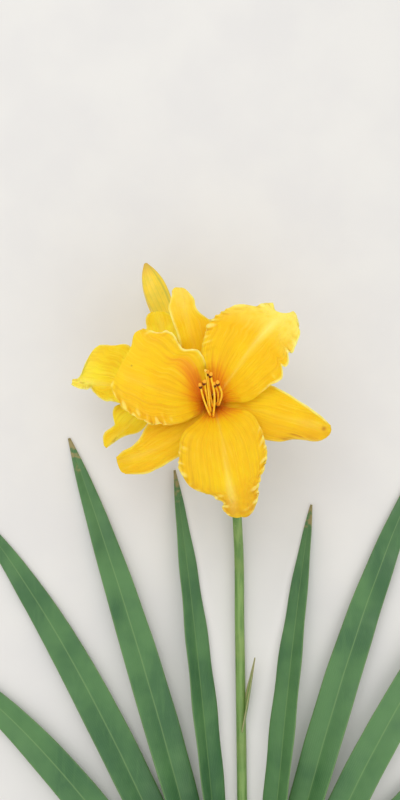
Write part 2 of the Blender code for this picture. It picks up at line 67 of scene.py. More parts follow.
# Tepals: how far the midrib leans out, at these shares of its length, and how wide the neck is.
STATIONS = (0, 0.1, 0.2, 0.35, 0.5, 0.7, 1)
NECK_SPAN = {"petal": "0:30 .04:28.2 .1:28.6 .16:38 .23:51 ", "sepal": "0:30 .04:28.2 .13:28.2 "}
PETAL_FLARE = (0, 7, 14, 38, 63, 85, 108)
RAISED_FLARE = (0, 7, 13, 32, 53, 76, 96)
SEPAL_FLARE = (0, 15, 26, 52, 73, 87, 106)
FOLDED_FLARE = (0, 15, 28, 62, 90, 110, 125)
CURLED_FLARE = (0, 15, 32, 75, 115, 150, 172)
ROW_CROWDING, COLUMN_CROWDING = 1.15, 1.6
SWEEP_GROWTH = "0:0 .25:.05 1:1"
TEPAL_THICKNESS, MARGIN_THICKNESS = 0.8, 0.42
TIP_START, LONGEST = 0.84, 1.06
MIDRIB_SAMPLES = 425

# The relief of the tepals: the long ruffles, the crimps, the creases, the rolled rims and the pleats.
RUFFLE_LENGTH, RUFFLE_DEPTH, RUFFLE_SHIFT = 13, 6.5, 1.7
RUFFLE_GROWTH = "0:0 .3:0 .45:.6 .6:1 .9:1 1:.4"
CRIMP_GROWTH = "0:1 .95:1 1:.7"
CREASE_DEPTH, CREASE_GROWTH = 9, "0:0 .45:0 .62:.8 .75:1 .95:1 1:.7"
TIP_RUFFLE, TIP_GROWTH = 0.3, "0:0 .8:0 1:1"
ROLL_GROWTH = "0:0 .15:0 .36:1 .6:.9 .85:.3 1:0"
BODY_GROWTH = "0:0 .12:0 .35:1 .85:1 1:.2"
SCALLOP = 0.3
GROOVE_WIDTH, PLEATS = 1.1, 9

# The courses over the tepals of the colours, of the painted shade on the margins and of the painted highlight
# on the midrib.
SIDE_SHADE_GROWTH = "0:0 .4:0 .62:.7 .8:1 .9:.9 1:.5"
RIB_GROWTH = "0:0 .4:.2 .7:1 1:1"
RIB_WIDTH = "0:.9 .5:1 .72:1.7 .9:2.6 1:2"
RIB_STRENGTH = "0:0 .2:.4 .5:.3 .68:.5 .85:1 1:.2"
PARALLEL_GROWTH = "0:0 .45:0 .9:1 1:1"

# Stamens.
FILAMENT_START, FILAMENT_SPREAD = 12.4, (0.9, 1.7)
FILAMENT_RADII, STYLE_RADII = (0.85, 0.62), (0.7, 0.42)
COLUMN_RINGS, FILAMENT_RINGS, ANTHER_RINGS = 8, 60, 21
COLUMN_HEIGHTS, COLUMN_RADIUS = (TUBE_FLOOR + GAP, 11, 16), 1.15
BELLY_SHARE = 0.33
ANTHER_LENGTH, ANTHER_RADIUS, ANTHER_LIE = 4.4, 1.25, (0.2, 0.85, 0.6)
STIGMA_RADII = (0.5, 0.62, 0.74, 0.84, 0.9, 0.92, 0.86, 0.66, 0.3)

# The crown, and the leaves that leave it.
CROWN_X, CROWN_Y, CROWN_Z = 24, -487, 8.2
CROWN_LENGTH, CROWN_HALF_WIDTH, CROWN_HALF_HEIGHT = 14, 23.5, 9.4
CROWN_SWELL = "0:.955 .12:.985 .5:1 .85:.97 1:.935"
CROWN_ROWS, CROWN_SIDES, CROWN_END_RINGS = 40, 160, 14
LEAF_START = CROWN_Y + CROWN_LENGTH + 1.5 * GAP
LEAF_THICKNESS, LEAF_EDGE = 1.0, 0.45
LEAF_ROWS, LEAF_COLUMNS, LEAF_SAMPLES = 130, 24, 401
INNERMOST_LEAF, LEAF_SPACING = 8.8, 2.8
LEAF_OUTLINE = "0:.56 .15:.72 .35:.95 .5:1 .7:.9 .85:.64 .95:.32 1:.07"
LEAF_FOLD = "0:32 .3:22 .7:13 1:8"
LEAF_LEAN = "0:0 .12:12 .3:46 .5:72 1:82"
LEAF_WAVE = "0:0 .25:0 .5:1 .9:1 1:0"
QUARTERS = (0, 0.25, 0.5, 0.75, 1)

# Buds, bracts and the stem.
BUD_PROFILE = "0:.3 .06:.42 .25:.66 .5:.93 .68:1 .82:.86 .93:.52 1:.14"
BUD_LAP = "0:0 .04:1 .5:.45 1:0"
BUD_OPEN = "0:0 .12:.5 .5:1 .9:1 1:.4"
BUD_TWIST, BUD_AXIS_POINTS = 0.9, 9
BRACT_OUTLINE = "0:.7 .25:1 .5:.86 .75:.56 .93:.3 1:.2"
BRACT_THICKNESS, BRACT_FOLD, BRACT_ROWS, BRACT_COLUMNS = 0.8, 34, 49, 16
BRANCH_END, BRANCH_SWELL, BRANCH_RINGS = 3, "0:1.15 .15:1 .85:1 1:1.06", 40
TRUNK_RINGS = 200
SKIN_VOXEL = 0.6

FLOOR_COLOR, FLOOR_MOTTLE = (0.74, 0.73, 0.71), (0.71, 0.70, 0.69)
PETAL_YELLOW = (0.93, 0.56, 0.008)
PETAL_WARM = (0.90, 0.49, 0.008)
PETAL_PALE = (0.98, 0.75, 0.17)
# Painted highlight: the pale laid on the rims, the crimps' crests and the midrib where they catch the light.
RIM_HIGHLIGHT = (1.0, 0.84, 0.28)
# Painted shade, with some of the tepals' own duller tone: a dull tan for the margins, the crimps' troughs and
# the darker tips.
PETAL_SHADE = (0.56, 0.28, 0.016)
VEIN_ORANGE = (0.68, 0.31, 0.008)
THROAT = ((0.80, 0.22, 0.020), (0.84, 0.28, 0.014), (0.90, 0.38, 0.011), (0.93, 0.49, 0.010))
BACK_YELLOW = (0.98, 0.71, 0.032)
TUBE_GREEN = (0.55, 0.52, 0.05)
BUD_YELLOW, BUD_GREEN = (0.92, 0.65, 0.03), (0.30, 0.40, 0.06)
YELLOW_TIP, GREEN_TIP = (0.68, 0.40, 0.05), (0.42, 0.46, 0.10)
FILAMENT_YELLOW, FILAMENT_ORANGE = (0.92, 0.50, 0.02), (0.78, 0.27, 0.015)
ANTHER_BROWN, POLLEN_ORANGE = (0.13, 0.014, 0.006), (0.92, 0.43, 0.03)
STIGMA_YELLOW = (0.88, 0.45, 0.03)
LEAF_GREEN, LEAF_LIGHT = (0.040, 0.130, 0.045), (0.090, 0.220, 0.072)
LEAF_MIDRIB, LEAF_RIM = (0.20, 0.34, 0.12), (0.22, 0.34, 0.10)
LEAF_PALE, LEAF_DRY = (0.42, 0.50, 0.22), (0.36, 0.27, 0.11)
SCAPE_GREEN, SCAPE_LIGHT = (0.11, 0.23, 0.05), (0.20, 0.34, 0.09)
SCAPE_PATCH, SCAPE_FLECK = (0.26, 0.36, 0.10), (0.36, 0.42, 0.18)
BRACT_PAPER, BRACT_VEIN = (0.46, 0.42, 0.22), (0.28, 0.28, 0.10)
CROWN_CREAM, CROWN_BROWN = (0.64, 0.60, 0.40), (0.23, 0.15, 0.07)
FLESH_LIGHT, FLESH_RING, FLESH_STAIN = (0.72, 0.69, 0.50), (0.50, 0.44, 0.24), (0.46, 0.36, 0.19)

# Specks on the front bloom: place, size and colour.
SPECKS = (((71.5, -17.0), 2.4, (0.46, 0.20, 0.02)), ((-50.6, 22.9), 1.1, (0.56, 0.30, 0.03)))

# The studio: half the floor's width, the lamps' places, sizes and powers, and the even light all round.
FLOOR_HALF, FLOOR_Z = 2500, -0.2
LAMPS = (("key_light", (-260, 560, 1250), 800, 5.3), ("fill_light", (500, -700, 1000), 1000, 2))
LAMP_TARGET = (0, -40, 60)
BACKDROP, BACKDROP_STRENGTH = (1.0, 0.99, 0.97, 1), 0.86


# One tepal, in the polar frame of its bloom, with angles in degrees. left and right are how far the margins
# lie from the midrib, round the bloom, at shares of its length. tip lengthens or cuts the end, as a share of
# the length, from the right corner at -1 to the left at 1. ruffle is the height of the long waves, crinkle
# that of the small creases, and frill the height, length and depth of each margin's crimps, with the share
# from which they show. roll lifts the margins, and curl_left and curl_right turn the very rims over. glow is
# how far out the throat's orange reaches, from the right margin at -1 to the left at 1. rib is how pale the
# midrib is, partly its own paler tone and partly a painted highlight on the raised rib, and how far to the
# left it is drawn. dusk is how much painted shade each side gets, with some of the tepal's own duller
# tone, pale how strong the painted highlight on each rim is, and wash how much painted highlight the
# end gets, with painted shade below 0.
Tepal = namedtuple(
    "Tepal",
    "kind azimuth sweep length flare left right ruffle phase roll tip frill crinkle glow rib dusk pale wash"
    " curl_left curl_right curl_radius",
    defaults=((0, 0), "-1:0 1:0", ((0.12, 3.4, 2, 0.5),) * 2, (0.05, 0.05), "-1:16 1:16", (0.12, 0),
              (0.1, 0.1), (0.4, 0.4), 0, "0:0 1:0", "0:0 1:0", 1.5),
)

# One open flower. rows and columns are those of a petal's grid and of a sepal's. A filament is given by its
# belly, its middle and its tip, from the foot of the tube.
Bloom = namedtuple("Bloom", "name foot axis rows columns tepals filaments style")

# One closed bud, along a path.
Bud = namedtuple("Bud", "name stops radius rows sides ripe")

# One strap leaf. heading is its angle out from +Y, and lift its height, both at the quarters.
Leaf = namedtuple("Leaf", "side rank length width lean heading lift")

HIDDEN_SEPAL = ".3:26 .4:27 .5:26 .6:24 .7:21 .8:17 .9:11 .96:7 1:2"

FRONT_TEPALS = (
    Tepal("petal", 50, -1.1, 102.2, PETAL_FLARE, ruffle=0.9, phase=0.4, roll=(0, -3.2),
        frill=((0.75, 3, 3, 0.7), (1.15, 5.9, 4.6, 0.74)), crinkle=(0.35, 0.25), rib=(0.52, 3.4),
        dusk=(0.25, 0.2), pale=(0.15, 0.8), wash=0.8,
        left=".3:52 .4:55 .5:55 .6:51 .67:47.2 .74:43.8 .77:41.4 .8:37.4 .835:33 .86:28.8 .89:24.5 "
             ".905:19 .925:16 .95:14.6 .97:13 1:9.5",
        right=".3:50 .4:51 .5:45 .58:37 .63:33.3 .69:31.7 .72:29.5 .735:25 .745:21.8 .765:23.4 "
              ".79:21.6 .808:18.5 .822:16 .848:17.4 .88:15.2 .92:13.1 .95:11.2 .98:8 1:5",
        tip="-1:-.002 -.33:.024 -.08:.018 .08:-.012 .28:-.034 .5:-.046 .72:-.044 .86:-.03 1:-.016",
        glow="-1:17 0:21 .35:29 .75:32 1:27", curl_left="0:0 .45:0 .6:-60 .9:-50 1:-20",
        curl_right="0:0 .4:0 .55:40 .9:50 1:30"),
    Tepal("sepal", 110, -4.9, 93.5, SEPAL_FLARE, ruffle=0.5, phase=2.0, pale=(0.6, 0.4), wash=0.4,
        left=".3:26 .4:24 .5:19 .6:12.5 .7:10 .8:9.5 .85:9.2 .9:8.6 .93:6.8 .965:5.3 1:4.6",
        right=".3:26 .4:27 .5:26 .6:22.5 .7:17.8 .74:15.8 .768:12 .795:9 .825:7 .863:6.2 .89:6.2 "
              ".92:5.5 .955:4.2 1:3",
        tip="-1:-.04 -.7:-.022 .1:0 .7:.01 1:-.004", glow="-1:24 1:20",
        curl_left="0:0 .6:0 .8:50 1:40", curl_right="0:0 .6:0 .8:-40 1:-30"),
    Tepal("petal", 170, -7.4, 88.7, RAISED_FLARE, ruffle=0.8, phase=1.7, roll=(-3.2, 3),
        frill=((0.45, 4.1, 3, 0.62), (0.4, 7, 2.4, 0.66)), crinkle=(0.5, 0.2), rib=(0.06, 0),
        dusk=(0.6, 0.3), pale=(0.15, 1), wash=0.05, curl_radius=2.4,
        left=".3:55 .38:52 .46:48.8 .525:46.2 .59:43 .66:38.8 .72:35.8 .778:33 .818:28.8 .86:25.2 "
             ".9:22.5 .933:19.2 .96:15.8 .99:12 1:10.5",
        right=".3:54 .4:60 .45:63.5 .5:66 .555:67 .605:66 .643:63.5 .673:59.8 .688:54.8 .7:50 .72:46.8 "
              ".758:45.6 .8:45.2 .83:44.8 .863:43.2 .885:41 .905:37 .93:34.2 .968:31.5 1:29.5",
        tip="-1:.004 -.9:.022 -.8:.026 -.72:.014 -.62:-.006 -.45:-.012 -.25:-.011 0:-.003 .55:.013 "
            ".85:.02 1:.008",
        # Beside the rolled right rim the throat's orange reaches further out: partly the petal's own orange
        # and partly painted shade under the rim.
        glow="-1:12 -.88:14 -.78:38 -.4:32 0:19 1:15", curl_left="0:0 .5:0 .65:60 .9:60 1:20",
        curl_right="0:0 .34:0 .46:-50 .6:-70 .7:-60 .8:-75 1:-40"),
    Tepal("sepal", 230, -17.9, 88.3, SEPAL_FLARE, ruffle=0.5, phase=0.3, dusk=(0.35, 0.1),
        pale=(0.5, 0.35), wash=-0.3,
        left=".3:26 .4:25 .5:22 .6:18.5 .65:17.2 .708:15.2 .763:14.5 .815:13.5 .873:12.8 .92:11 "
             ".965:9.2 1:7.8",
        right=".3:26 .4:26 .5:26 .6:25 .67:21.8 .7:18.8 .735:14.4 .773:10.8 .813:8.5 .853:6.6 .885:6 "
              ".928:5 .965:3.5 1:2.2",
        tip="-1:-.012 -.4:-.005 .15:.003 .47:.013 .74:.015 1:-.002", glow="-1:13 1:13",
        curl_left="0:0 .6:0 .8:40 1:60", curl_right="0:0 .6:0 .8:-40 1:-40"),
    Tepal("petal", 290, -6.5, 103.2, PETAL_FLARE, ruffle=0.9, phase=3.1, roll=(-3.2, -3.2),
        frill=((0.7, 2.9, 2.4, 0.6), (0.4, 3.6, 2.4, 0.62)), crinkle=(0.4, 0.45), rib=(0.38, -3.4),
        dusk=(0.5, 0.55), pale=(0.35, 0.4), wash=-0.7,
        left=".3:54 .4:58 .5:55 .6:43.5 .66:36.5 .69:33.8 .725:29.8 .753:26 .78:22.3 .795:18.9 "
             ".82:16.6 .838:14.6 .863:13 .893:12.5 .918:10.9 .943:9.3 .973:7.3 1:4.8",
        right=".3:55 .4:59 .5:61 .6:53 .66:47.8 .7:44.3 .73:40.5 .755:37.3 .78:33.6 .8:29.5 .812:25 "
              ".822:19.5 .832:15 .855:12.4 .87:9.8 .89:8.1 .92:8.9 .94:8.2 .965:6.6 1:4.4",
        tip="-1:-.022 -.48:-.012 .1:-.006 .6:.003 1:0", glow="-1:15 0:15 1:20",
        curl_left="0:0 .45:0 .6:45 .9:55 1:30", curl_right="0:0 .45:0 .6:-60 .9:-50 1:-20"),
    Tepal("sepal", 350, -3.4, 96.2, SEPAL_FLARE, ruffle=0.5, phase=1.1, dusk=(0, 1.4), pale=(0.9, 0.2),
        wash=-0.3,
        left=".3:24 .4:28 .5:29 .59:27 .643:22 .703:17 .768:12.5 .835:9 .893:6.5 .948:4.2 1:2",
        right=".3:24 .4:25 .5:25 .6:24.6 .658:21.2 .705:18.2 .758:13.5 .8:11.2 .85:9.5 .91:8.2 "
              ".955:6.5 1:4",
        tip="-1:-.018 -.5:0 0:.003 1:-.006", glow="-1:13 1:15", curl_left="0:0 .5:0 .8:60 1:40",
        curl_right="0:0 .5:0 .8:50 1:40"),
)
FRONT = Bloom(
    "front_bloom", foot=(0, 0, 38), axis=(0, 0, 1), rows=(176, 98), columns=(60, 40),
    style=((0, 0, 9), (0, -0.2, 24), (0, -2.8, 44), (-0.9, -5.6, 59), (-2.6, 8.6, 68), (-4.2, 19.8, 75)),
    filaments=(
        ((0.9, -9.2, 55), (1.5, 4.6, 66.5), (-0.9, 16.9, 73)),
        ((3.8, -0.8, 55), (3.5, 6.9, 64.5), (1.4, 10.9, 69.5)),
        ((-1.5, -5, 56), (-3.6, 5.4, 65), (-4.9, 12.3, 71)),
        ((-1.0, -8.4, 56), (-5.7, 3.2, 65), (-7.4, 10.2, 69.5)),
        ((0.2, -1.8, 56), (-1.9, 9, 66.5), (-3, 18.2, 72)),
        ((4.7, -1.2, 57), (6.1, 6.3, 66), (3.6, 11.9, 71)),
    ),
    tepals=FRONT_TEPALS,
)

BACK_TEPALS = (
    Tepal("petal", 60, 26, 67, PETAL_FLARE, ruffle=1.1, phase=0.9,
        frill=((0.4, 3.8, 2.4, 0.5), (0.4, 3.8, 2.4, 0.5)), dusk=(0.3, 0.3),
        left=".3:52 .4:56 .5:56 .6:45 .7:32 .77:22.5 .83:16.4 .895:13.6 .945:10.8 .985:7.2 1:5",
        right=".3:45 .4:48 .5:40 .6:34 .7:28 .8:22 .9:16 .96:12 1:5"),
    Tepal("sepal", 120, 12, 60, CURLED_FLARE, ruffle=0.5, phase=2.6,
        left=HIDDEN_SEPAL, right=HIDDEN_SEPAL),
    Tepal("petal", 180, -4.3, 74.1, PETAL_FLARE, ruffle=1.0, phase=2.1,
        frill=((0.45, 3.6, 2.4, 0.5), (0.4, 4.2, 2.4, 0.75)), rib=(0.3, 0), dusk=(0.15, 0.1),
        pale=(0.6, 0.5), wash=0.3,
        left=".3:50 .4:52 .5:41 .56:30 .6:25 .64:22 .67:21.2 .708:17.5 .748:12.8 .775:8.6 .79:5.6 "
             ".83:6.2 .87:5.8 .935:4.8 1:2.6",
        right=".3:52 .4:56 .5:58 .6:60 .66:60 .695:55.5 .745:46.5 .818:38.2 .862:33 .88:27.5 .89:19 "
              ".9:11 .915:6.4 .94:3.4 1:1.2",
        curl_right="0:0 .5:0 .65:-40 .9:-50 1:-20"),
    Tepal("sepal", 240, -10.3, 63.1, SEPAL_FLARE, ruffle=0.5, phase=1.3,
        left=".3:26 .4:28 .5:26 .583:22.6 .633:19.5 .68:15.5 .708:12 .74:8.2 .798:4.8 .853:2.9 .918:2 "
             "1:1.2",
        right=".3:26 .4:28 .5:29 .6:31 .65:29 .685:24.3 .715:17.8 .735:12.6 .785:10 .84:10 .893:9.5 "
              ".938:7.3 .973:4 1:1.2"),
    Tepal("petal", 300, 0, 64, PETAL_FLARE, ruffle=1.1, phase=3.5,
        frill=((0.4, 3.6, 2.4, 0.5), (0.4, 3.6, 2.4, 0.5)),
        left=".3:50 .4:50 .5:40 .6:30 .7:24 .8:18 .9:12 .96:8 1:3",
        right=".3:52 .4:54 .5:46 .6:38 .7:29 .8:21 .9:13 .96:9 1:4"),
    Tepal("sepal", 0, 16, 66, FOLDED_FLARE, ruffle=0.5, phase=0.1,
        right=".3:26 .4:24 .5:18 .6:15 .7:13 .8:11 .9:8 .96:5 1:2",
        left=HIDDEN_SEPAL),
)
BACK = Bloom(
    "back_bloom", foot=(-27, 6, 13), axis=(-0.24, 0.08, 0.97), rows=(120, 80), columns=(46, 32),
    style=((0, 0, 9), (0, -0.2, 24), (0, -2, 36), (-0.9, -4.2, 47), (-2.4, 6, 55), (-4, 14.5, 61)),
    filaments=(
        ((0.9, -6.2, 44), (1.5, 3.6, 52), (-0.9, 10.5, 57)),
        ((3.2, -0.8, 44), (3.1, 4.2, 50), (1.4, 6.6, 54)),
        ((-1.5, -3.4, 45), (-3.6, 3.2, 51), (-4.9, 8.1, 55)),
        ((-1.0, -5.8, 45), (-5.1, 1.4, 51), (-7.0, 6.2, 54)),
        ((0.2, -1.6, 44), (-1.9, 6, 51), (-3, 12.4, 56)),
        ((4.3, -1.2, 45), (5.7, 4.1, 51), (4.2, 8.1, 55)),
    ),
    tepals=BACK_TEPALS,
)

BUDS = (
    Bud("large_bud", ((-23, 26, 27), (-29, 47, 33), (-37.5, 73, 36.5), (-45.5, 96, 39)), 8.4, 96, 72, True),
    Bud("middle_bud", ((15, 1, 33.5), (22, 8, 38), (30, 15, 41), (39, 22, 43)), 5.2, 56, 48, False),
    Bud("small_bud", ((18.5, -21, 25.5), (23, -17, 28), (29, -12, 30)), 3.4, 40, 36, False),
    Bud("tiny_bud", ((1, -29, 19), (-3, -33, 20.5), (-8, -37, 21)), 2.6, 36, 36, False),
)

LEAVES = (
    Leaf(-1, 0, 425, 24, 0.58, (2.5, 5, 5.5, 6.5, 8), (0.4, 5, 9, 3, 2)),
    Leaf(1, 0, 400, 24, 0.55, (2.5, 5, 5.5, 7, 9), (0.4, 6, 11, 4, 0.5)),
    Leaf(-1, 1, 462, 26, 0.96, (4, 12, 15.5, 18, 20), (0.4, 5, 12, 8, 0.4)),
    Leaf(1, 1, 455, 26, 0.94, (4, 12, 16, 20, 25), (0.4, 4, 10, 5, 0)),
    Leaf(-1, 2, 440, 27, 1, (6, 20, 26, 31, 38), (0.4, 4, 9, 3, 0)),
    Leaf(1, 2, 430, 26, 1, (6, 20, 27, 33, 43), (0.4, 6, 13, 9, 0.6)),
    Leaf(-1, 3, 375, 26, 1, (8, 28, 38, 46, 56), (0.4, 5, 11, 6, 0.5)),
    Leaf(1, 3, 350, 25, 1, (8, 29, 40, 50, 62), (0.4, 4, 8, 3, 0)),
    Leaf(-1, 4, 290, 23, 1, (10, 36, 53, 66, 80), (0.4, 3, 7, 2, 0)),
)

# The trunk of the scape, and its branches: what each carries, its path to there and its end radii.
TRUNK = ((24, -472.4, 6.4), (24, -445, 5.4), (23, -300, 5.2), (21, -160, 5.2), (20, -100, 8), (15, -48, 16),
         (6, -16, 22), (2, -7, 27))
TRUNK_RADII = (4.0, 3.3)
BRANCHES = (
    (FRONT, ((4.5, -12, 23), (1.2, -4, 29.5), (0.1, -0.6, 34.5)), 3.0, 2.4),
    (BACK, ((8, -22, 20), (-7, -16, 12), (-18, -9, 7), (-25, -1, 6)), 2.9, 2.3),
    (BUDS[0], ((4, -11, 24), (-6, 4, 21), (-15, 16, 21.5), (-21, 22.5, 24)), 2.7, 2.2),
    (BUDS[1], ((5, -13, 24), (9, -6, 28), (13, -1, 31.5)), 2.2, 1.5),
    (BUDS[2], ((10, -30, 18), (14, -26, 22), (17, -22.6, 24.4)), 2.0, 1.1),
    (BUDS[3], ((12, -38, 17), (6, -32, 18), (2.6, -28.6, 18.2)), 1.8, 0.8),
)

# Bracts: the path of each, its width and where its inner face looks.
BRACTS = (
    (((23.2, -238, 6.8), (26.4, -222, 8), (29, -205, 9.5), (32, -184, 11)), 9, (-1, 0, 0.2)),
    (((14, -46, 15), (10.5, -37, 11.5), (5, -26, 10.5), (-1, -14, 11.5)), 12, (0, 0, 1)),
    (((11, -33, 20.5), (14, -24, 25.5), (19, -12, 29), (26, 2, 30)), 10, (-1, 0.6, -0.2)),
)


# Curves and surfaces

def value_at(stops, at):
    """A smooth curve through its stops, as text or as (place, value) pairs, read at each place in at."""
    if isinstance(stops, str):
        stops = [stop.split(":") for stop in stops.split()]
    places, values = array(stops, float).T
    slopes = np.gradient(values, places)
    at = clip(np.asarray(at, float), places[0], places[-1])
    left = clip(np.searchsorted(places, at, side="right") - 1, 0, len(places) - 2)
    step = places[left + 1] - places[left]
    u = (at - places[left]) / step
    return (
        values[left] * (1 + 2 * u) * (1 - u) ** 2
        + values[left + 1] * (3 - 2 * u) * u**2
        + slopes[left] * step * u * (1 - u) ** 2
        - slopes[left + 1] * step * (1 - u) * u**2
    )


def smooth_path(points, count):
    """count points, evenly spread, on a smooth curve through the given points."""
    points = array(points, float)
    chord = np.r_[0, np.cumsum(np.linalg.norm(np.diff(points, axis=0), axis=1))]
    at = linspace(0, chord[-1], count)
    return stack([value_at(list(zip(chord, points[:, axis])), at) for axis in range(3)], axis=1)


def running_sum(values, step):
    """The integral of the values, from 0 at the first."""
    return np.r_[0, np.cumsum((values[1:] + values[:-1]) / 2 * step)]


def unit(vectors):
    """The vectors, each made one unit long."""
    return vectors / np.maximum(np.linalg.norm(vectors, axis=-1, keepdims=True), 1e-12)


def surface_normals(surface):
    """The unit normals of a grid of points."""
    return unit(np.cross(np.gradient(surface, axis=0), np.gradient(surface, axis=1)))


def ring_angles(sides):
    """The angle of each point of a ring."""
    return np.arange(sides) * 2 * pi / sides


class Form:
    """The points, faces and values of one mesh. A value that a part lacks is 0."""

    def __init__(self):
        self.points = []
        self.faces = []
        self.values = {}
        self.count = 0

    def add(self, points, **values):
        """Adds points, and returns their indices in the same grid."""
        points = np.asarray(points, float)
        shape = points.shape[:-1]
        index = np.arange(self.count, self.count + math.prod(shape)).reshape(shape)
        self.points.append(points.reshape(-1, 3))
        for name, value in values.items():
            self.values.setdefault(name, []).append((self.count, np.broadcast_to(value, shape).ravel()))
        self.count += index.size
        return index

    def grid(self, index, outward=True):
        """A face for each cell of a grid."""
        a, b, c, d = index[:-1, :-1], index[:-1, 1:], index[1:, 1:], index[1:, :-1]
        corners = (a, d, c, b) if outward else (a, b, c, d)
        self.faces.extend(stack([corner.ravel() for corner in corners], axis=1).tolist())

    def sleeve(self, index, outward=True):
        """A face for each cell between closed rings."""
        self.grid(np.concatenate([index, index[:, :1]], axis=1), outward)

    def cap(self, ring, middle, outward=True, **values):
        """Closes a ring of points on a middle point."""
        centre = int(self.add(np.asarray(middle, float)[None], **values)[0])
        for a, b in zip(ring.tolist(), np.roll(ring, -1).tolist()):
            self.faces.append([centre, a, b] if outward else [centre, b, a])

    def sheet(self, surface, thickness, open_base=False, behind=None, **values):
        """A closed sheet about its middle surface. behind has the values that differ at its back."""
        push = surface_normals(surface) * np.asarray(thickness)[..., None] / 2
        inner = self.add(surface + push, **values)
        outer = self.add(surface - push, **{**values, **(behind or {})})
        self.grid(inner)
        self.grid(outer, outward=False)
        self.grid(stack([outer[:, 0], inner[:, 0]], axis=1))
        self.grid(stack([inner[:, -1], outer[:, -1]], axis=1))
        self.grid(stack([inner[-1], outer[-1]], axis=0))
        if not open_base:
            self.grid(stack([outer[0], inner[0]], axis=0))

    def rings(self, rings, outward=True, **values):
        """Joins closed rings of points into a sleeve."""
        index = self.add(rings, **values)
        self.sleeve(index, outward)
        return index

    def rod(self, path, radii, sides, section=None, **values):
        """A closed rod along a path. section gives a ring's radius by its angle and place."""
        place = linspace(0, 1, len(path))[:, None]
        angle = ring_angles(sides)[None]
        swell = np.asarray(radii)[:, None] * (section(angle, place) if section else 1)
        index = self.rings(rings_about(path, angle, swell), False, along=place, **values)
        self.cap(index[0], path[0], False, along=0, **values)
        self.cap(index[-1], path[-1], True, along=1, **values)

    def to_object(self, name, look, weld=False):
        """One Blender object, in metres in the plant's frame."""
        mesh = bpy.data.meshes.new(name)
        points = (np.concatenate(self.points) + (BLOOM_X, BLOOM_Y, 0)) * MM
        mesh.from_pydata(points.tolist(), [], self.faces)
        for value, parts in self.values.items():
            data = np.zeros(self.count, np.float32)
            for first, numbers in parts:
                data[first:first + len(numbers)] = numbers
            mesh.attributes.new(value, "FLOAT", "POINT").data.foreach_set("value", data)
        if weld:
            weld_points(mesh)
        mesh.shade_smooth()
        mesh.materials.append(look)
        made = bpy.data.objects.new(name, mesh)
        bpy.context.scene.collection.objects.link(made)
        return made


def weld_points(mesh):
    """Joins the points of a mesh that coincide."""
    work = bmesh.new()
    work.from_mesh(mesh)
    bmesh.ops.remove_doubles(work, verts=work.verts, dist=2e-6)
    work.to_mesh(mesh)
    work.free()


def frames_along(path):
    """Two unit vectors across each point of a path, which turn as little as they can."""
    tangents = unit(np.gradient(path, axis=0))
    side = np.cross(tangents[0], (0, 0, 1) if abs(tangents[0][2]) < 0.7 else (0, 1, 0))
    sides = []
    for tangent in tangents:
        side = unit(side - np.dot(side, tangent) * tangent)
        sides.append(side)
    return array(sides), np.cross(tangents, sides)


def rings_about(path, angle, size):
    """Rings about a path, with the radius of each of their points."""
    side, top = frames_along(path)
    return path[:, None] + size[..., None] * (
        cos(angle)[..., None] * side[:, None] + sin(angle)[..., None] * top[:, None])


def in_bloom(bloom, points):
    """Points of a bloom's own frame, set on the plant."""
    turn = Vector((0, 0, 1)).rotation_difference(Vector(bloom.axis).normalized()).to_matrix()
    return points @ array(turn).T + bloom.foot


# Materials

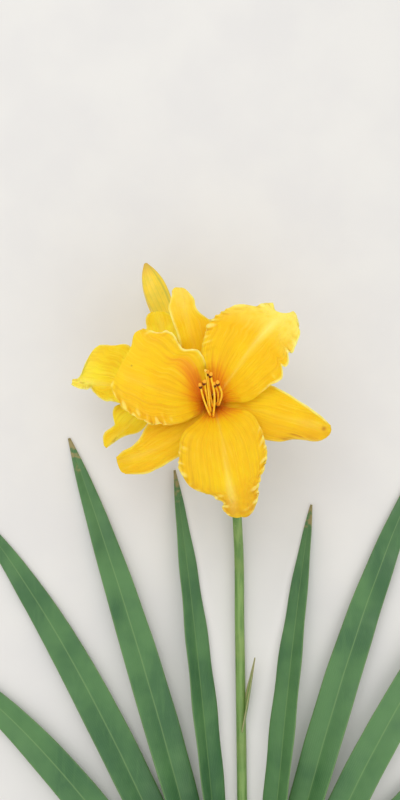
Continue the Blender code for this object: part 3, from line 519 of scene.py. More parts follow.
class Look:
    """A Principled material with the colour that it has so far, and short calls for its nodes.

    Heights and sizes are in millimetres.
    """

    def __init__(self, name, color, roughness, specular=0.4, subsurface=0.0, scatter=(2.2, 1.1, 0.3)):
        self.color = color
        self.material = bpy.data.materials.new(name)
        self.material.use_nodes = True
        self.tree = self.material.node_tree
        self.shader = self.tree.nodes["Principled BSDF"]
        for socket, value in (
            ("Roughness", roughness), ("Specular IOR Level", specular), ("Subsurface Weight", subsurface),
            ("Subsurface Radius", scatter), ("Subsurface Scale", MM),
        ):
            self.shader.inputs[socket].default_value = value

    def node(self, kind, settings=None, **inputs):
        """A node, with settings on it and its inputs by name or number."""
        made = self.tree.nodes.new("ShaderNode" + kind)
        for key, value in (settings or {}).items():
            setattr(made, key, value)
        for key, value in inputs.items():
            self.feed(made.inputs[int(key[1:]) if key[0] == "i" and key[1:].isdigit() else key], value)
        return made

    def feed(self, socket, value):
        """Links a socket to another, or sets its number or colour."""
        if isinstance(value, bpy.types.NodeSocket):
            self.tree.links.new(value, socket)
        elif isinstance(value, tuple) and len(value) == 3 and socket.type == "RGBA":
            socket.default_value = (*value, 1)
        else:
            socket.default_value = value

    def value(self, name):
        """A value that the mesh holds at its points."""
        return self.node("Attribute", {"attribute_name": name}).outputs["Fac"]

    def math(self, operation, first, second=0.0, third=0.0):
        """One sum on values."""
        return self.node("Math", {"operation": operation}, i0=first, i1=second, i2=third).outputs[0]

    def times(self, first, second):
        """The product of two values."""
        return self.math("MULTIPLY", first, second)

    def plus(self, first, second):
        """The sum of two values."""
        return self.math("ADD", first, second)

    def ease(self, value, low, high, to_low=0.0, to_high=1.0):
        """Rises smoothly from one number to another as the value goes from low to high."""
        settings = {"interpolation_type": "SMOOTHSTEP"}
        return self.node("MapRange", settings, i0=value, i1=low, i2=high, i3=to_low, i4=to_high).outputs[0]

    def noise(self, size, detail=2.0, stretch=(1, 1, 1), shift=(0, 0, 0)):
        """Noise from 0 to 1 with lumps of about this size."""
        place = self.node("TexCoord").outputs["Object"]
        turned = self.node("Mapping", Vector=place, Scale=stretch, Location=shift).outputs[0]
        return self.node("TexNoise", Vector=turned, Scale=1 / (size * MM), Detail=detail).outputs["Fac"]

    def patches(self, size, low, high, to_low=0.0, to_high=1.0, detail=3, **place):
        """Noise with lumps of about this size, eased between two numbers."""
        return self.ease(self.noise(size, detail, **place), low, high, to_low, to_high)

    def streaks(self, across, along, seed, detail):
        """Long streaks from 0 to 1. across and along are each a value and its scale."""
        scaled = [self.times(*pair) for pair in (across, along)]
        place = self.node("CombineXYZ", i0=scaled[0], i1=scaled[1], i2=seed).outputs[0]
        return self.node("TexNoise", Vector=place, Scale=1.0, Detail=detail).outputs["Fac"]

    def stripes(self, value, sharp=0.6):
        """Thin lines where the value is a whole number, from 0 between them to 1 on them."""
        return self.ease(self.math("PINGPONG", value, 0.5), 0.5 * (1 - sharp), 0.0)

    def mix(self, share, first, second):
        """A colour between two."""
        made = self.node("Mix", {"data_type": "RGBA"}, i0=share)
        self.feed(made.inputs[6], first)
        self.feed(made.inputs[7], second)
        return made.outputs[2]

    def paint(self, share, color):
        """Lays a share of another colour over the one so far."""
        self.color = self.mix(share, self.color, color)

    def ramp(self, value, *stops):
        """A colour from (place, colour) stops."""
        made = self.node("ValToRGB", i0=value)
        elements = made.color_ramp.elements
        while len(elements) < len(stops):
            elements.new(0.5)
        for element, (place, color) in zip(elements, stops):
            element.position = place
            element.color = (*color, 1)
        return made.outputs[0]

    def finish(self, bump, height, strength, roughness=None):
        """Joins the colour, the relief and the roughness to the shader."""
        self.feed(self.shader.inputs["Base Color"], self.color)
        if roughness is not None:
            self.feed(self.shader.inputs["Roughness"], roughness)
        relief = self.node("Bump", Strength=strength, Distance=height * MM, Height=bump)
        self.feed(self.shader.inputs["Normal"], relief.outputs[0])
        return self.material


def tepal_look(name, yellow, warm, specks=()):
    """Ruffled tepals: an orange throat, streaks that fan from it, a paler midrib with a painted highlight,
    painted highlights on the crimps' crests and rims, and painted shade on the margins, in the troughs and on
    some tips.
    """
    look = Look(name, yellow, 0.6, 0.14, 0.55, (4, 2.2, 0.35))
    reach, rim, crest, vein, share, seed, wash = map(
        look.value, ("reach", "rim", "crest", "vein", "share", "seed", "wash"))
    broad = look.streaks((vein, 0.8), (reach, 0.02), seed, 3)
    fine = look.streaks((vein, 2.1), (reach, 0.05), seed, 2)
    clouds = look.noise(17, 3)
    look.paint(look.ease(clouds, 0.3, 0.7), warm)

    throat = look.plus(look.value("glow"), look.ease(broad, 0.25, 0.75, 0.16, -0.16))
    heart = look.ramp(throat, *zip((0.16, 0.42, 0.7, 0.95), THROAT), (1, yellow))
    look.color = look.mix(look.ease(throat, 0.55, 1.15), heart, look.color)

    fade = look.ease(reach, 12, 75, 0.9, 0.35)
    lines = look.times(look.ease(fine, 0.52, 0.7), look.times(fade, 0.36))
    bands = look.times(look.ease(broad, 0.52, 0.72), look.times(fade, 0.42))
    look.paint(look.math("MAXIMUM", lines, bands), VEIN_ORANGE)
    look.paint(look.times(look.ease(fine, 0.45, 0.28), look.ease(share, 0.3, 0.7, 0, 0.14)), PETAL_PALE)

    # The paler midrib: partly its own paler tone and partly a painted highlight along the raised rib.
    look.paint(look.value("rib"), RIM_HIGHLIGHT)
    # Painted shade along the margins that curve away from the light, with some of the tepal's own duller tone.
    side_shade_amount = look.times(look.value("dusk"), look.ease(clouds, 0.3, 0.65, 1, 0.45))
    look.paint(look.times(side_shade_amount, look.ease(broad, 0.4, 0.62, 0.35, 1)), PETAL_SHADE)
    patchy = look.patches(5, 0.3, 0.6, 0.55, 1)
    # Painted highlight at the ends of the tepals that catch the light, and painted shade where the value is
    # below 0.
    look.paint(look.times(wash, patchy), PETAL_PALE)
    look.paint(look.times(look.times(wash, -1), patchy), PETAL_SHADE)
    look.paint(look.times(look.value("back"), look.ease(reach, 34, 5, 0.12, 0.8)), TUBE_GREEN)

    # Painted highlight on the crimps' crests and painted shade in their troughs, near the rims.
    near_rim = look.ease(rim, 9, 0.5)
    look.paint(look.times(near_rim, look.ease(crest, 0.1, 0.9, 0, 0.5)), RIM_HIGHLIGHT)
    look.paint(look.times(near_rim, look.ease(crest, -0.05, -0.7, 0, 0.34)), PETAL_SHADE)
    # Painted highlight along the rims that catch the light, partly the rims' own paler tone.
    edge = look.times(look.ease(rim, 1.9, 0.3), look.ease(share, 0.52, 0.68, 0, 0.95))
    edge = look.times(edge, look.times(look.value("pale"), look.ease(share, 1, 0.93)))
    look.paint(look.times(edge, patchy), RIM_HIGHLIGHT)
    look.paint(look.patches(1.1, 0.68, 0.8, 0, 0.15, 2, shift=(7, 0, 2)), VEIN_ORANGE)

    place = look.node("TexCoord").outputs["Object"]
    flat = look.node("VectorMath", {"operation": "MULTIPLY"}, i0=place, i1=(1, 1, 0)).outputs[0]
    for (x, y), size, brown in specks:
        spot = ((x + BLOOM_X) * MM, (y + BLOOM_Y) * MM, 0)
        away = look.node("VectorMath", {"operation": "DISTANCE"}, i0=flat, i1=spot).outputs["Value"]
        look.paint(look.ease(away, size * MM, 0, 0, 0.85), brown)

    grain = look.noise(0.7, 3)
    relief = look.plus(look.plus(look.times(fine, 0.8), look.times(broad, 1.1)), look.times(grain, 0.35))
    return look.finish(relief, 0.5, 0.8, look.ease(grain, 0.2, 0.8, 0.52, 0.68))


def leaf_look():
    """Strap leaves: parallel veins, a paler midrib and base, and dry tips."""
    look = Look("leaf", LEAF_GREEN, 0.42, 0.45, 0.04, (0.6, 1, 0.3))
    share, side = look.value("share"), look.value("side")
    out = look.math("ABSOLUTE", side)
    veins = look.stripes(look.times(side, 9), 0.8)
    ragged = look.plus(share, look.patches(4, 0.2, 0.8, -0.03, 0.03))
    for amount, color in (
        (look.patches(38, 0.3, 0.7), LEAF_LIGHT),
        (look.times(veins, 0.35), LEAF_LIGHT),
        (look.patches(3.2, 0.5, 0.75, 0, 0.35, 2, stretch=(1, 0.12, 1)), LEAF_LIGHT),
        (look.ease(out, 0.07, 0, 0, 0.5), LEAF_MIDRIB),
        (look.ease(out, 0.9, 1, 0, 0.35), LEAF_RIM),
        (look.ease(share, 0.24, 0, 0, 0.85), LEAF_PALE),
        (look.ease(ragged, 0.955, 0.99, 0, 0.8), LEAF_DRY),
    ):
        look.paint(amount, color)
    relief = look.plus(look.times(veins, 0.8), look.times(look.noise(1.2), 0.3))
    return look.finish(relief, 0.18, 0.7, look.patches(9, 0.3, 0.7, 0.34, 0.5))


def scape_look():
    """The flower stem: waxy green with fine streaks along it and pale flecks."""
    look = Look("scape", SCAPE_GREEN, 0.4, 0.45, 0.05, (0.6, 1, 0.3))
    streaks = look.noise(2.2, 3, (1, 0.07, 1))
    look.paint(look.ease(streaks, 0.35, 0.65), SCAPE_LIGHT)
    look.paint(look.patches(16, 0.4, 0.75, 0, 0.5, 2), SCAPE_PATCH)
    look.paint(look.patches(0.9, 0.68, 0.76, 0, 0.5, 1), SCAPE_FLECK)
    return look.finish(streaks, 0.14, 0.7, look.patches(5, 0.3, 0.7, 0.34, 0.5, 2))


def bract_look():
    """Bracts: green along the middle, papery and dry towards the rim and the tip."""
    look = Look("bract", SCAPE_LIGHT, 0.55, 0.3, 0.05)
    share, side = look.value("share"), look.value("side")
    dry = look.plus(look.ease(look.math("ABSOLUTE", side), 0.35, 1), look.ease(share, 0.6, 1, 0, 0.8))
    dry = look.times(dry, look.patches(3, 0.25, 0.6, 0.6, 1))
    veins = look.stripes(look.times(side, 6), 0.8)
    look.paint(look.math("MINIMUM", dry, 1), BRACT_PAPER)
    look.paint(look.times(veins, 0.4), BRACT_VEIN)
    return look.finish(veins, 0.12, 0.7)


def bud_look(name, body, base, tip):
    """Closed buds: greener at the base, with veins and darker seams between the tepals."""
    look = Look(name, body, 0.44, 0.4, 0.12)
    along, seam, vein = map(look.value, ("along", "seam", "vein"))
    look.color = look.ramp(along, (0, base), (0.2, body), (0.86, body), (1, tip))
    lines = look.stripes(vein, 0.7)
    for amount in (look.patches(7, 0.35, 0.7, 0, 0.2), look.times(lines, 0.2), look.times(seam, 0.35)):
        look.paint(amount, base)
    return look.finish(look.plus(look.times(lines, 0.5), look.noise(0.8)), 0.12, 0.6)


def filament_look():
    """Filaments: orange where they leave the tube, and yellow above."""
    look = Look("filament", FILAMENT_YELLOW, 0.5, 0.2, 0.25)
    along = look.value("along")
    look.color = look.ramp(along, (0.25, FILAMENT_ORANGE), (0.6, FILAMENT_YELLOW), (1, PETAL_YELLOW))
    look.paint(look.patches(2, 0.4, 0.7, 0, 0.3, 2), PETAL_PALE)
    return look.finish(look.noise(0.4), 0.05, 0.6)


def anther_look():
    """Anthers: dark brown, dusted with orange pollen where they have opened."""
    look = Look("anther", ANTHER_BROWN, 0.7, 0.2)
    grains = look.noise(0.5, 3)
    ragged = look.plus(look.value("along"), look.ease(grains, 0.3, 0.7, -0.08, 0.08))
    dusted = look.math("MAXIMUM", look.ease(ragged, 0.47, 0.6), look.ease(grains, 0.55, 0.7, 0, 0.3))
    look.paint(dusted, POLLEN_ORANGE)
    return look.finish(look.noise(0.3, 3), 0.16, 1)


def stigma_look():
    """The stigma: a pale sticky tip."""
    look = Look("stigma", STIGMA_YELLOW, 0.25, 0.5, 0.2)
    look.paint(look.patches(0.4, 0.4, 0.7, detail=2), PETAL_PALE)
    return look.finish(look.noise(0.25), 0.08, 0.8)


def crown_look():
    """The crown: cream, with brown fibres of old leaves, and pale where it was cut."""
    look = Look("crown", CROWN_CREAM, 0.7, 0.25, 0.05)
    fibres = look.noise(1.6, 4, (1, 0.16, 1))
    look.paint(look.ease(fibres, 0.42, 0.62), CROWN_BROWN)
    look.paint(look.ease(look.value("along"), 0.55, 1, 0, 0.6), LEAF_PALE)
    rings = look.stripes(look.value("layer"), 0.5)
    flesh = look.mix(look.times(rings, 0.6), FLESH_LIGHT, FLESH_RING)
    look.paint(look.value("cut"), look.mix(look.patches(2.5, 0.5, 0.75, 0, 0.5), flesh, FLESH_STAIN))
    return look.finish(look.plus(fibres, rings), 0.35, 0.8)


def floor_look():
    """A pale, matt tabletop with a faint mottle."""
    look = Look("floor", FLOOR_COLOR, 0.75, 0.2)
    look.paint(look.patches(60, 0.3, 0.7), FLOOR_MOTTLE)
    return look.finish(look.noise(1.5, 3), 0.03, 0.3)


# Blooms

def midrib(tepal, s):
    """The midrib's distance from the tube's axis, its height and its azimuth, at each share."""
    fine = linspace(0, LONGEST, MIDRIB_SAMPLES)
    flare = np.radians(value_at(list(zip(STATIONS, tepal.flare)), fine))
    step = tepal.length * (fine[1] - fine[0])
    reach = TUBE_RADIUS + running_sum(sin(flare), step)
    height = TUBE_HEIGHT + running_sum(cos(flare), step)
    azimuth = np.radians(tepal.azimuth + tepal.sweep * value_at(SWEEP_GROWTH, s))
    return interp(s, fine, reach), interp(s, fine, height), azimuth


def crimps(tepal, s, t):
    """The crimps of each margin, from -1 to 1, with their height and how far in they run."""
    height, length, depth, begin = (where(t > 0, *pair) for pair in zip(*tepal.frill))
    shift = where(t > 0, RUFFLE_SHIFT, 0)
    turns = 2 * pi * s * tepal.length
    uneven = 0.55 + 0.3 * sin(turns / 31 + 2.3 * tepal.phase + 2 * shift)
    uneven = uneven + 0.3 * sin(turns / 8.7 + tepal.phase + shift) * sin(turns / 13.3 + 1.7)
    hurried = turns / length + 1.8 * sin(turns / 17 + tepal.phase) + 0.9 * sin(turns / 7.1) + shift
    grown = clip((s - begin + 0.06) / 0.12, 0, 1)
    return grown * grown * (3 - 2 * grown) * value_at(CRIMP_GROWTH, s) * uneven * sin(hurried), height, depth


def waves(tepal, s, t, rim):
    """How far the ruffles, crimps and rolls lift a tepal, and the crimps alone from -1 to 1."""
    shift = where(t > 0, RUFFLE_SHIFT, 0)
    ruffle = sin(2 * pi * s * tepal.length / RUFFLE_LENGTH + tepal.phase + shift)
    along = value_at(RUFFLE_GROWTH, s) * exp(-rim / RUFFLE_DEPTH) * ruffle
    at_tip = TIP_RUFFLE * value_at(TIP_GROWTH, s) * sin(2 * pi * t + tepal.phase)
    roll = where(t > 0, *tepal.roll) * value_at(ROLL_GROWTH, s) * np.abs(t) ** 3
    wave, height, depth = crimps(tepal, s, t)
    wave = wave * exp(-rim / depth)
    return tepal.ruffle * (along + at_tip) + roll + height * wave, wave * np.minimum(height / 0.5, 1)


def creases(tepal, s, t, across, rim):
    """The small uneven creases beside the margins, with their height."""
    along = s * tepal.length
    crossed = sin(along / 1.15 + 1.3 * sin(across / 4.1) + tepal.phase)
    crossed = crossed * sin(across / 2.1 + 1.1 * sin(along / 5.3 + 2 * tepal.phase))
    slanted = 0.6 * sin(along / 0.7 + across / 2.7 + 2 * sin(across / 6.7 + along / 9))
    shown = value_at(CREASE_GROWTH, s) * exp(-((rim / CREASE_DEPTH) ** 2)) * (crossed + slanted)
    return where(t > 0, *tepal.crinkle) * shown


def body_relief(tepal, s, t, across):
    """The groove of the midrib, the long pleats beside it and the slow rise and fall of the blade."""
    groove = -0.5 * exp(-((across / GROOVE_WIDTH) ** 2))
    pleats = 0.17 * cos(PLEATS * pi * t + 0.9 * sin(5 * s + tepal.phase)) * (1 - t**4)
    turns = 2 * pi * s * tepal.length
    swell = 0.5 * sin(turns / 41 + 1.9 * tepal.phase) * t + 0.2 * sin(turns / 23 + tepal.phase) * t * t
    crinkle = 0.08 * sin(turns / 9 + 4 * t + tepal.phase) * sin(7 * pi * t + 2 * tepal.phase)
    size = 1 if tepal.kind == "petal" else 0.6
    return size * value_at(BODY_GROWTH, s) * (groove + pleats + swell + crinkle)


def curled_rims(surface, tepal, s, t, width):
    """Turns the rims over on small arcs, and leaves the outline where it was."""
    made = surface.copy()
    normals = surface_normals(surface)
    for side, curl, half in ((1, tepal.curl_left, width[:, -1]), (-1, tepal.curl_right, width[:, 0])):
        for row, (angle, reach) in enumerate(zip(np.radians(value_at(curl, s)), half)):
            radius = min(tepal.curl_radius, 0.12 * reach)
            if abs(angle) < 0.02 or radius < 0.05:
                continue
            start = 1 - radius * math.sin(min(abs(angle), pi / 2)) / reach
            turned = side * t > start
            base, before = (
                array([interp(at, side * t[::side], surface[row, ::side, axis]) for axis in range(3)])
                for at in (start, start - 0.04))
            lateral = unit(base - before)
            normal = normals[row, np.flatnonzero(turned)[0 if side > 0 else -1]]
            normal = unit(normal - np.dot(normal, lateral) * lateral)
            bend = (side * t[turned] - start) / (1 - start) * abs(angle)
            out = radius * sin(bend)[:, None] * lateral
            over = math.copysign(radius, angle) * (1 - cos(bend))[:, None] * normal
            made[row, turned] = base + out + over
    return made


def tepal_surface(tepal, rows, columns):
    """A tepal's middle surface in its bloom's frame, and the values that its material reads."""
    row = (1 - (1 - linspace(0, 1, rows + 1)) ** ROW_CROWDING)[:, None]
    q = linspace(-1, 1, columns + 1)
    t = (np.sign(q) * (1 - (1 - np.abs(q)) ** COLUMN_CROWDING))[None]
    near_tip = clip((row - TIP_START) / (1 - TIP_START), 0, 1)
    reach, rise, azimuth = midrib(tepal, row + near_tip**2 * value_at(tepal.tip, t))
    left, right = (
        np.radians(value_at(NECK_SPAN[tepal.kind] + stops, row)) for stops in (tepal.left, tepal.right))
    wave, height, _ = crimps(tepal, row, t)
    span = where(t > 0, left, right)
    span = span + np.abs(t) ** 6 * SCALLOP * height * wave / reach
    angle = azimuth + t * span
    surface = stack([reach * cos(angle), reach * sin(angle), rise], axis=2)

    width = reach * span
    across, rim = t * width, (1 - np.abs(t)) * width
    lift, crest = waves(tepal, row, t, rim)
    crease = creases(tepal, row, t, across, rim)
    lift = lift + crease + body_relief(tepal, row, t, across)
    surface = surface + surface_normals(surface) * lift[..., None]
    surface = curled_rims(surface, tepal, row[:, 0], t[0], width)

    # Veins fan out from the throat, and run on beside the midrib until the margin cuts them off.
    broad = (left + right) * reach[:, columns // 2][:, None]
    fan = 1 - value_at(PARALLEL_GROWTH, row) * (1 - clip(broad / broad.max(), 0.05, 1))
    side = clip((np.abs(t) - 0.15) / 0.6, 0, 1)
    aside = across - tepal.rib[1] * value_at(RIB_GROWTH, row)
    rib = exp(-((aside / value_at(RIB_WIDTH, row)) ** 2)) * value_at(RIB_STRENGTH, row)
    return surface, {
        "share": row,
        "rim": np.minimum(rim, (1 - row) * tepal.length + 0.2),
        # The heights of the crimps and creases, which set their painted highlights and shade.
        "crest": crest + 1.6 * crease,
        "vein": t * fan * (16 if tepal.kind == "petal" else 9),
        "seed": 10 * tepal.phase + tepal.azimuth,
        "reach": reach,
        "glow": reach / (np.ones_like(row) * value_at(tepal.glow, t)),
        # How much painted shade each margin gets.
        "dusk": where(t > 0, *tepal.dusk) * side * value_at(SIDE_SHADE_GROWTH, row),
        # How strong the painted highlight on each rim is.
        "pale": where(t > 0, *tepal.pale),
        # Painted highlight at the end, and painted shade where the value is below 0.
        "wash": tepal.wash * clip((row - 0.76) / 0.2, 0, 1),
        # The midrib's pale, partly a painted highlight on the raised rib.
        "rib": tepal.rib[0] * rib,
    }


def perianth(bloom, look):
    """The tube and its six tepals, grown together in one mesh."""
    form = Form()
    inner_rim, outer_rim, angles = [], [], []
    for tepal in bloom.tepals:
        kind = 0 if tepal.kind == "petal" else 1
        surface, values = tepal_surface(tepal, bloom.rows[kind], bloom.columns[kind])
        thin = clip(1.2 * values["share"] / 0.3, 0, 1) * exp(-values["rim"] / 2.5)
        thickness = TEPAL_THICKNESS + (MARGIN_THICKNESS - TEPAL_THICKNESS) * thin
        behind = {"glow": 2, "back": 1 if kind else 0.75}
        form.sheet(in_bloom(bloom, surface), thickness, open_base=True, behind=behind, **values)
        base = surface[0]
        outwards = unit(base * (1, 1, 0)) * TEPAL_THICKNESS / 2
        for block, rim, points in ((-2, inner_rim, base - outwards), (-1, outer_rim, base + outwards)):
            form.points[block][:len(base)] = in_bloom(bloom, points)
            rim.extend(points[:-1])
        angles.extend(np.arctan2(base[:-1, 1], base[:-1, 0]))
    ribs = 1 + 0.012 * cos(6 * array(angles))[:, None]
    for rim, sections, outward in ((outer_rim, TUBE_OUTSIDE, True), (inner_rim, TUBE_INSIDE, False)):
        radial = unit(array(rim) * (1, 1, 0))
        heights = linspace(sections[0][0], sections[-1][0], TUBE_ROWS)[1:]
        rings = [radial * TUBE_RADIUS * size * ribs + (0, 0, TUBE_HEIGHT * height)
                 for height, size in zip(heights, value_at(sorted(sections), heights))]
        points = in_bloom(bloom, array([rim] + rings))
        tone = {"rim": 9, "reach": TUBE_RADIUS, "glow": 2 if outward else 0.2, "back": float(outward)}
        index = form.rings(points, outward, **tone)
        form.cap(index[-1], points[-1].mean(axis=0), not outward, **tone)
    return form.to_object(bloom.name + "_perianth", look, weld=True)


def filament_path(number, belly, middle, tip, count):
    """A filament's path from the column through the tube's mouth to its belly and its tip."""
    turn = math.radians(60 * number + 30)
    way = array([math.cos(turn), math.sin(turn), 0])
    root, mouth = (way * spread for spread in FILAMENT_SPREAD)
    halfway = way + array([BELLY_SHARE * belly[0], BELLY_SHARE * belly[1], (TUBE_HEIGHT + belly[2]) / 2])
    stops = (root + (0, 0, FILAMENT_START), mouth + (0, 0, TUBE_HEIGHT), halfway, belly, middle, tip)
    return smooth_path(stops, count)


def anther_section(angle, place):
    """The radius of an anther's ring: two lobes with a fine dusty unevenness."""
    ripple = 0.05 * sin(23 * place + 5 * angle) + 0.04 * sin(41 * place - 3 * angle)
    return 0.84 + 0.16 * np.abs(cos(angle)) + ripple


def stigma_section(angle, place):
    """The radius of the stigma's ring: three faint lobes towards its end."""
    return 1 + 0.12 * place * cos(3 * angle)


def stamens(bloom, looks):
    """The filaments and the style, the anthers, and the stigma of a bloom."""
    threads, anthers, stigma = Form(), Form(), Form()
    column = smooth_path([(0, 0, height) for height in COLUMN_HEIGHTS], COLUMN_RINGS)
    threads.rod(in_bloom(bloom, column), np.full(COLUMN_RINGS, COLUMN_RADIUS), 16)
    style = smooth_path(bloom.style, FILAMENT_RINGS)
    threads.rod(in_bloom(bloom, style), linspace(*STYLE_RADII, FILAMENT_RINGS), 12)
    end = style[-1] + unit(style[-1] - style[-2]) * 0.9
    knob = smooth_path((style[-2], style[-1], end), len(STIGMA_RADII))
    stigma.rod(in_bloom(bloom, knob), STIGMA_RADII, 14, stigma_section)
    at = linspace(-0.5, 0.5, ANTHER_RINGS)
    radii = ANTHER_RADIUS * np.sqrt(clip(1 - (2.02 * at) ** 2, 0.03, 1)) ** 0.7
    for number, filament in enumerate(bloom.filaments):
        path = filament_path(number, *filament, FILAMENT_RINGS)
        threads.rod(in_bloom(bloom, path), linspace(*FILAMENT_RADII, FILAMENT_RINGS), 12)
        lie = unit(array(ANTHER_LIE) * ((-1) ** number, 1, 1))
        spine = path[-1] + np.outer(at, lie) * ANTHER_LENGTH
        anthers.rod(in_bloom(bloom, spine), radii, 20, anther_section)
    return [form.to_object(f"{bloom.name}_{piece}", look)
            for form, (piece, look) in zip((threads, anthers, stigma), looks.items())]


# Leaves, stem, buds and crown

def folded_blade(spine, across, inward, half_width, fold, columns, soften=0.9, arch=0.0):
    """The middle surface of a blade, folded along its midrib by fold degrees, and its sides."""
    side = linspace(-1, 1, columns + 1)
    reach = half_width[:, None] * side
    rise = (np.sqrt(reach**2 + soften**2) - soften) * np.tan(np.radians(fold))[:, None]
    rise = rise - arch * half_width[:, None] * side**4
    return spine[:, None] + reach[..., None] * across[:, None] + rise[..., None] * inward[:, None], side


def blade(name, surface, thickness, share, side, look):
    """A blade from its middle surface."""
    form = Form()
    form.sheet(surface, thickness, share=share, side=side)
    return form.to_object(name, look)


def leaf_surface(leaf):
    """A leaf's middle surface. It leaves the crown on edge, and leans out until its inner face is up."""
    s = linspace(0, 1, LEAF_ROWS + 1)
    fine = linspace(0, 1, LEAF_SAMPLES)
    turned = np.radians(value_at(list(zip(QUARTERS, leaf.heading)), fine))
    step = leaf.length / (len(fine) - 1)
    sideways = INNERMOST_LEAF + LEAF_SPACING * leaf.rank + running_sum(sin(turned), step)
    forward = LEAF_START + running_sum(cos(turned), step)
    heading = interp(s, fine, turned)
    outward = stack([leaf.side * cos(heading), -sin(heading), np.zeros_like(s)], axis=1)
    up = array([0.0, 0.0, 1.0])
    lean = np.radians(leaf.lean * value_at(LEAF_LEAN, s))[:, None]
    across = cos(lean) * up + sin(lean) * outward
    inward = sin(lean) * up - cos(lean) * outward
    spine_x = CROWN_X + leaf.side * interp(s, fine, sideways)
    spine = stack([spine_x, interp(s, fine, forward), np.zeros_like(s)], axis=1)
    half_width = value_at(LEAF_OUTLINE, s) * leaf.width / 2
    fold = value_at(LEAF_FOLD, s)
    surface, side = folded_blade(spine, across, inward, half_width, fold, LEAF_COLUMNS, arch=0.035)
    wave = 0.35 * sin(2 * pi * s * leaf.length / 52 + leaf.rank + leaf.side)[:, None] * side**3
    surface = surface + (wave * value_at(LEAF_WAVE, s)[:, None])[..., None] * inward[:, None]
    lift = value_at(list(zip(QUARTERS, leaf.lift)), s) + LEAF_THICKNESS / 2
    surface[..., 2] += (lift - surface[..., 2].min(axis=1))[:, None]
    return surface, s[:, None], side[None]


def leaf_blade(name, leaf, look):
    """One leaf, thinner towards its margins."""
    surface, share, side = leaf_surface(leaf)
    thickness = LEAF_THICKNESS + (LEAF_EDGE - LEAF_THICKNESS) * np.abs(side) ** 3 * np.ones_like(share)
    return blade(name + "_blade", surface, thickness, share, side, look)


def bract(name, stops, width, facing, look):
    """A short pointed blade that clasps the scape."""
    spine = smooth_path(stops, BRACT_ROWS)
    along = unit(np.gradient(spine, axis=0))
    inward = unit(array(facing) - (along @ array(facing))[:, None] * along)
    s = linspace(0, 1, BRACT_ROWS)
    half_width = value_at(BRACT_OUTLINE, s) * width / 2
    fold = np.full(BRACT_ROWS, float(BRACT_FOLD))
    across = np.cross(along, inward)
    surface, side = folded_blade(spine, across, inward, half_width, fold, BRACT_COLUMNS, soften=1.0)
    share, side = s[:, None], side[None]
    thickness = BRACT_THICKNESS * (1 - 0.6 * np.abs(side) ** 3) * (1 - 0.4 * share)
    return blade(name, surface, thickness, share, side, look)


def bud_form(bud, look):
    """A closed bud: three outer tepals that overlap in turn, with a slight twist."""
    path = smooth_path(bud.stops, bud.rows)
    place = linspace(0, 1, bud.rows)[:, None]
    angle = ring_angles(bud.sides)[None]
    twisted = angle + BUD_TWIST * place
    third = (twisted * 3 / (2 * pi)) % 1
    opened = value_at(BUD_OPEN, place)
    relief = 0.05 * value_at(BUD_LAP, third) + 0.012 * cos(18 * twisted)
    size = bud.radius * value_at(BUD_PROFILE, place) * (0.955 + relief * opened)
    seam = exp(-((np.minimum(third, 1 - third) / 0.05) ** 2)) * opened
    form = Form()
    rings = rings_about(path, angle, size)
    index = form.rings(rings, False, along=place, seam=seam, vein=9 * twisted / pi)
    form.cap(index[0], path[0], False, along=0)
    form.cap(index[-1], path[-1] + unit(path[-1] - path[-2]) * 0.3 * size[-1].mean(), True, along=1)
    return form.to_object(bud.name + "_tepals", look)


def branch_path(carried, stops):
    """A branch's path. It ends square to what it carries, a small gap short of it."""
    if isinstance(carried, Bud):
        base, above = smooth_path(carried.stops, BUD_AXIS_POINTS)[:2]
        axis = unit(above - base)
    else:
        base, axis = array(carried.foot, float), unit(array(carried.axis, float))
    return smooth_path(stops + (base - axis * BRANCH_END, base - axis * GAP), BRANCH_RINGS)


def stem(look):
    """The trunk and its branches, run together into one smooth skin."""
    form = Form()
    radii = linspace(*TRUNK_RADII, TRUNK_RINGS)
    form.rod(smooth_path(TRUNK, TRUNK_RINGS), radii, 28, lambda angle, place: 1 + 0.015 * cos(7 * angle))
    swell = value_at(BRANCH_SWELL, linspace(0, 1, BRANCH_RINGS))
    for carried, stops, first, last in BRANCHES:
        form.rod(branch_path(carried, stops), linspace(first, last, BRANCH_RINGS) * swell, 22)
    made = form.to_object("scape_stem", look)
    skin = made.modifiers.new("skin", "REMESH")
    skin.mode = "VOXEL"
    skin.voxel_size = SKIN_VOXEL * MM
    skin.use_smooth_shade = True
    soften = made.modifiers.new("soften", "SMOOTH")
    soften.factor = 0.5
    soften.iterations = 4
    mesh = bpy.data.meshes.new_from_object(made.evaluated_get(bpy.context.evaluated_depsgraph_get()))
    made.modifiers.clear()
    made.data = mesh
    mesh.shade_smooth()
    return made


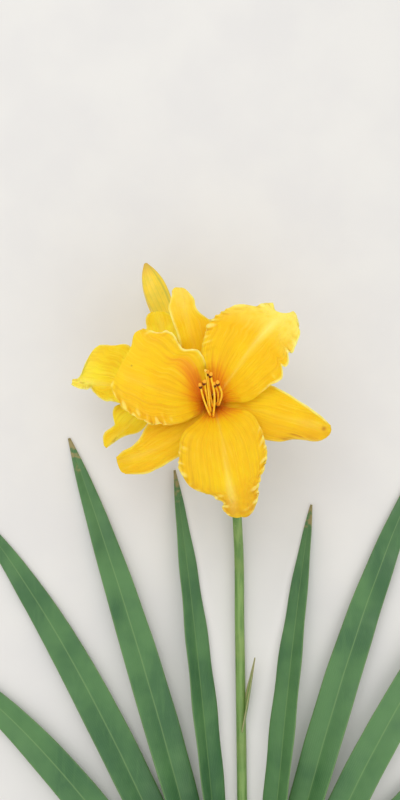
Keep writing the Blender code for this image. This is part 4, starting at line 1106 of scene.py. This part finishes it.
def crown_form(look):
    """The crown: old leaf bases clasp each other round it, cut flat behind and flat underneath."""
    place = linspace(0, 1, CROWN_ROWS)[:, None]
    angle = ring_angles(CROWN_SIDES)[None]
    clasp = 0.014 * cos(14 * angle + 3 * sin(2 * angle) + 2 * place)
    clasp = clasp + 0.008 * cos(37 * angle + 4 * place)
    size = value_at(CROWN_SWELL, place) * (0.985 + clasp)
    points = stack([
        CROWN_X + CROWN_HALF_WIDTH * size * cos(angle),
        CROWN_Y + CROWN_LENGTH * place * np.ones_like(angle),
        np.maximum(CROWN_Z + CROWN_HALF_HEIGHT * size * sin(angle), 0),
    ], axis=2)
    form = Form()
    index = form.rings(points, along=place)
    steps = linspace(1, 0.06, CROWN_END_RINGS)[:, None]
    dome = sin(linspace(0, pi, CROWN_END_RINGS))[:, None] ** 2
    for end, cut, bulge in ((0, 1.0, 0.5), (-1, 0.0, -0.2)):
        middle = points[end].mean(axis=0)
        inner = middle + (points[end] - middle) * steps[..., None]
        inner[..., 1] += bulge * dome * 0.4
        layer = steps[1:] * 6 + 0.25 * sin(5 * angle)
        face = form.rings(inner[1:], False, along=1 - cut, cut=cut, layer=layer)
        form.sleeve(stack([index[end], face[0]]), False)
        form.cap(face[-1], inner[-1].mean(axis=0), cut=cut)
    return form.to_object("crown_base", look)


# The plant

def settle(piece, slot, *nodes):
    """The piece moves with the plant and stands for these nodes. The slot is not used."""
    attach(piece, BODY)
    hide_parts(*nodes)


def build_plant():
    """Makes every piece of the plant."""
    looks = {"filaments": filament_look(), "anthers": anther_look(), "stigma": stigma_look()}
    front = tepal_look("front_tepals", PETAL_YELLOW, PETAL_WARM, SPECKS)
    back = tepal_look("back_tepals", BACK_YELLOW, PETAL_YELLOW)
    for bloom, look in ((FRONT, front), (BACK, back)):
        settle(perianth(bloom, look), "petal", bloom.name)
        for piece in stamens(bloom, looks):
            settle(piece, "stamen", bloom.name + "_stamens")
    yellow = bud_look("yellow_bud", BUD_YELLOW, BUD_GREEN, YELLOW_TIP)
    green = bud_look("green_bud", BUD_GREEN, SCAPE_GREEN, GREEN_TIP)
    for bud in BUDS:
        look, slot = (yellow, "yellow_bud") if bud.ripe else (green, "green_bud")
        settle(bud_form(bud, look), slot, bud.name)
    settle(stem(scape_look()), "scape", "scape")
    papery = bract_look()
    for number, shape in enumerate(BRACTS, 1):
        settle(bract(f"scape_bract_{number}", *shape, papery), "scape", "scape")
    strap = leaf_look()
    for number, leaf in enumerate(LEAVES, 1):
        name = f"leaf_{number:02d}"
        settle(leaf_blade(name, leaf, strap), "leaf", name)
    settle(crown_form(crown_look()), "crown", "crown")


def spot(x, y, z):
    """A place in the studio, in metres."""
    return Vector((x + BLOOM_X, y + BLOOM_Y, z)) * MM


def build_stage():
    """The floor, the soft lights and the camera that looks straight down."""
    form = Form()
    sides = (-FLOOR_HALF, FLOOR_HALF)
    form.grid(form.add([[(x, y, FLOOR_Z) for x in sides] for y in sides]), outward=False)
    form.to_object("floor", floor_look())

    scene = bpy.context.scene
    for name, place, size, power in LAMPS:
        lamp = bpy.data.lights.new(name, "AREA")
        lamp.size = size * MM
        lamp.energy = power
        light = bpy.data.objects.new(name, lamp)
        light.location = spot(*place)
        light.rotation_euler = (spot(*LAMP_TARGET) - light.location).to_track_quat("-Z", "Y").to_euler()
        scene.collection.objects.link(light)

    world = bpy.data.worlds.new("studio")
    world.use_nodes = True
    backdrop = world.node_tree.nodes["Background"]
    backdrop.inputs["Color"].default_value = BACKDROP
    backdrop.inputs["Strength"].default_value = BACKDROP_STRENGTH
    scene.world = world
    scene.view_settings.view_transform = "Standard"

    lens = bpy.data.cameras.new("camera")
    lens.lens = LENS
    lens.sensor_width = SENSOR
    camera = bpy.data.objects.new("camera", lens)
    aside = (PHOTO_WIDTH / 2 - THROAT_PIXEL[0]) * MM_PER_PIXEL
    above = (THROAT_PIXEL[1] - PHOTO_HEIGHT / 2) * MM_PER_PIXEL
    distance = MM_PER_PIXEL * PHOTO_HEIGHT * LENS / SENSOR
    camera.location = spot(aside, above, PETAL_PLANE + distance)
    scene.collection.objects.link(camera)
    scene.camera = camera


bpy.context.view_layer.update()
build_plant()
build_stage()
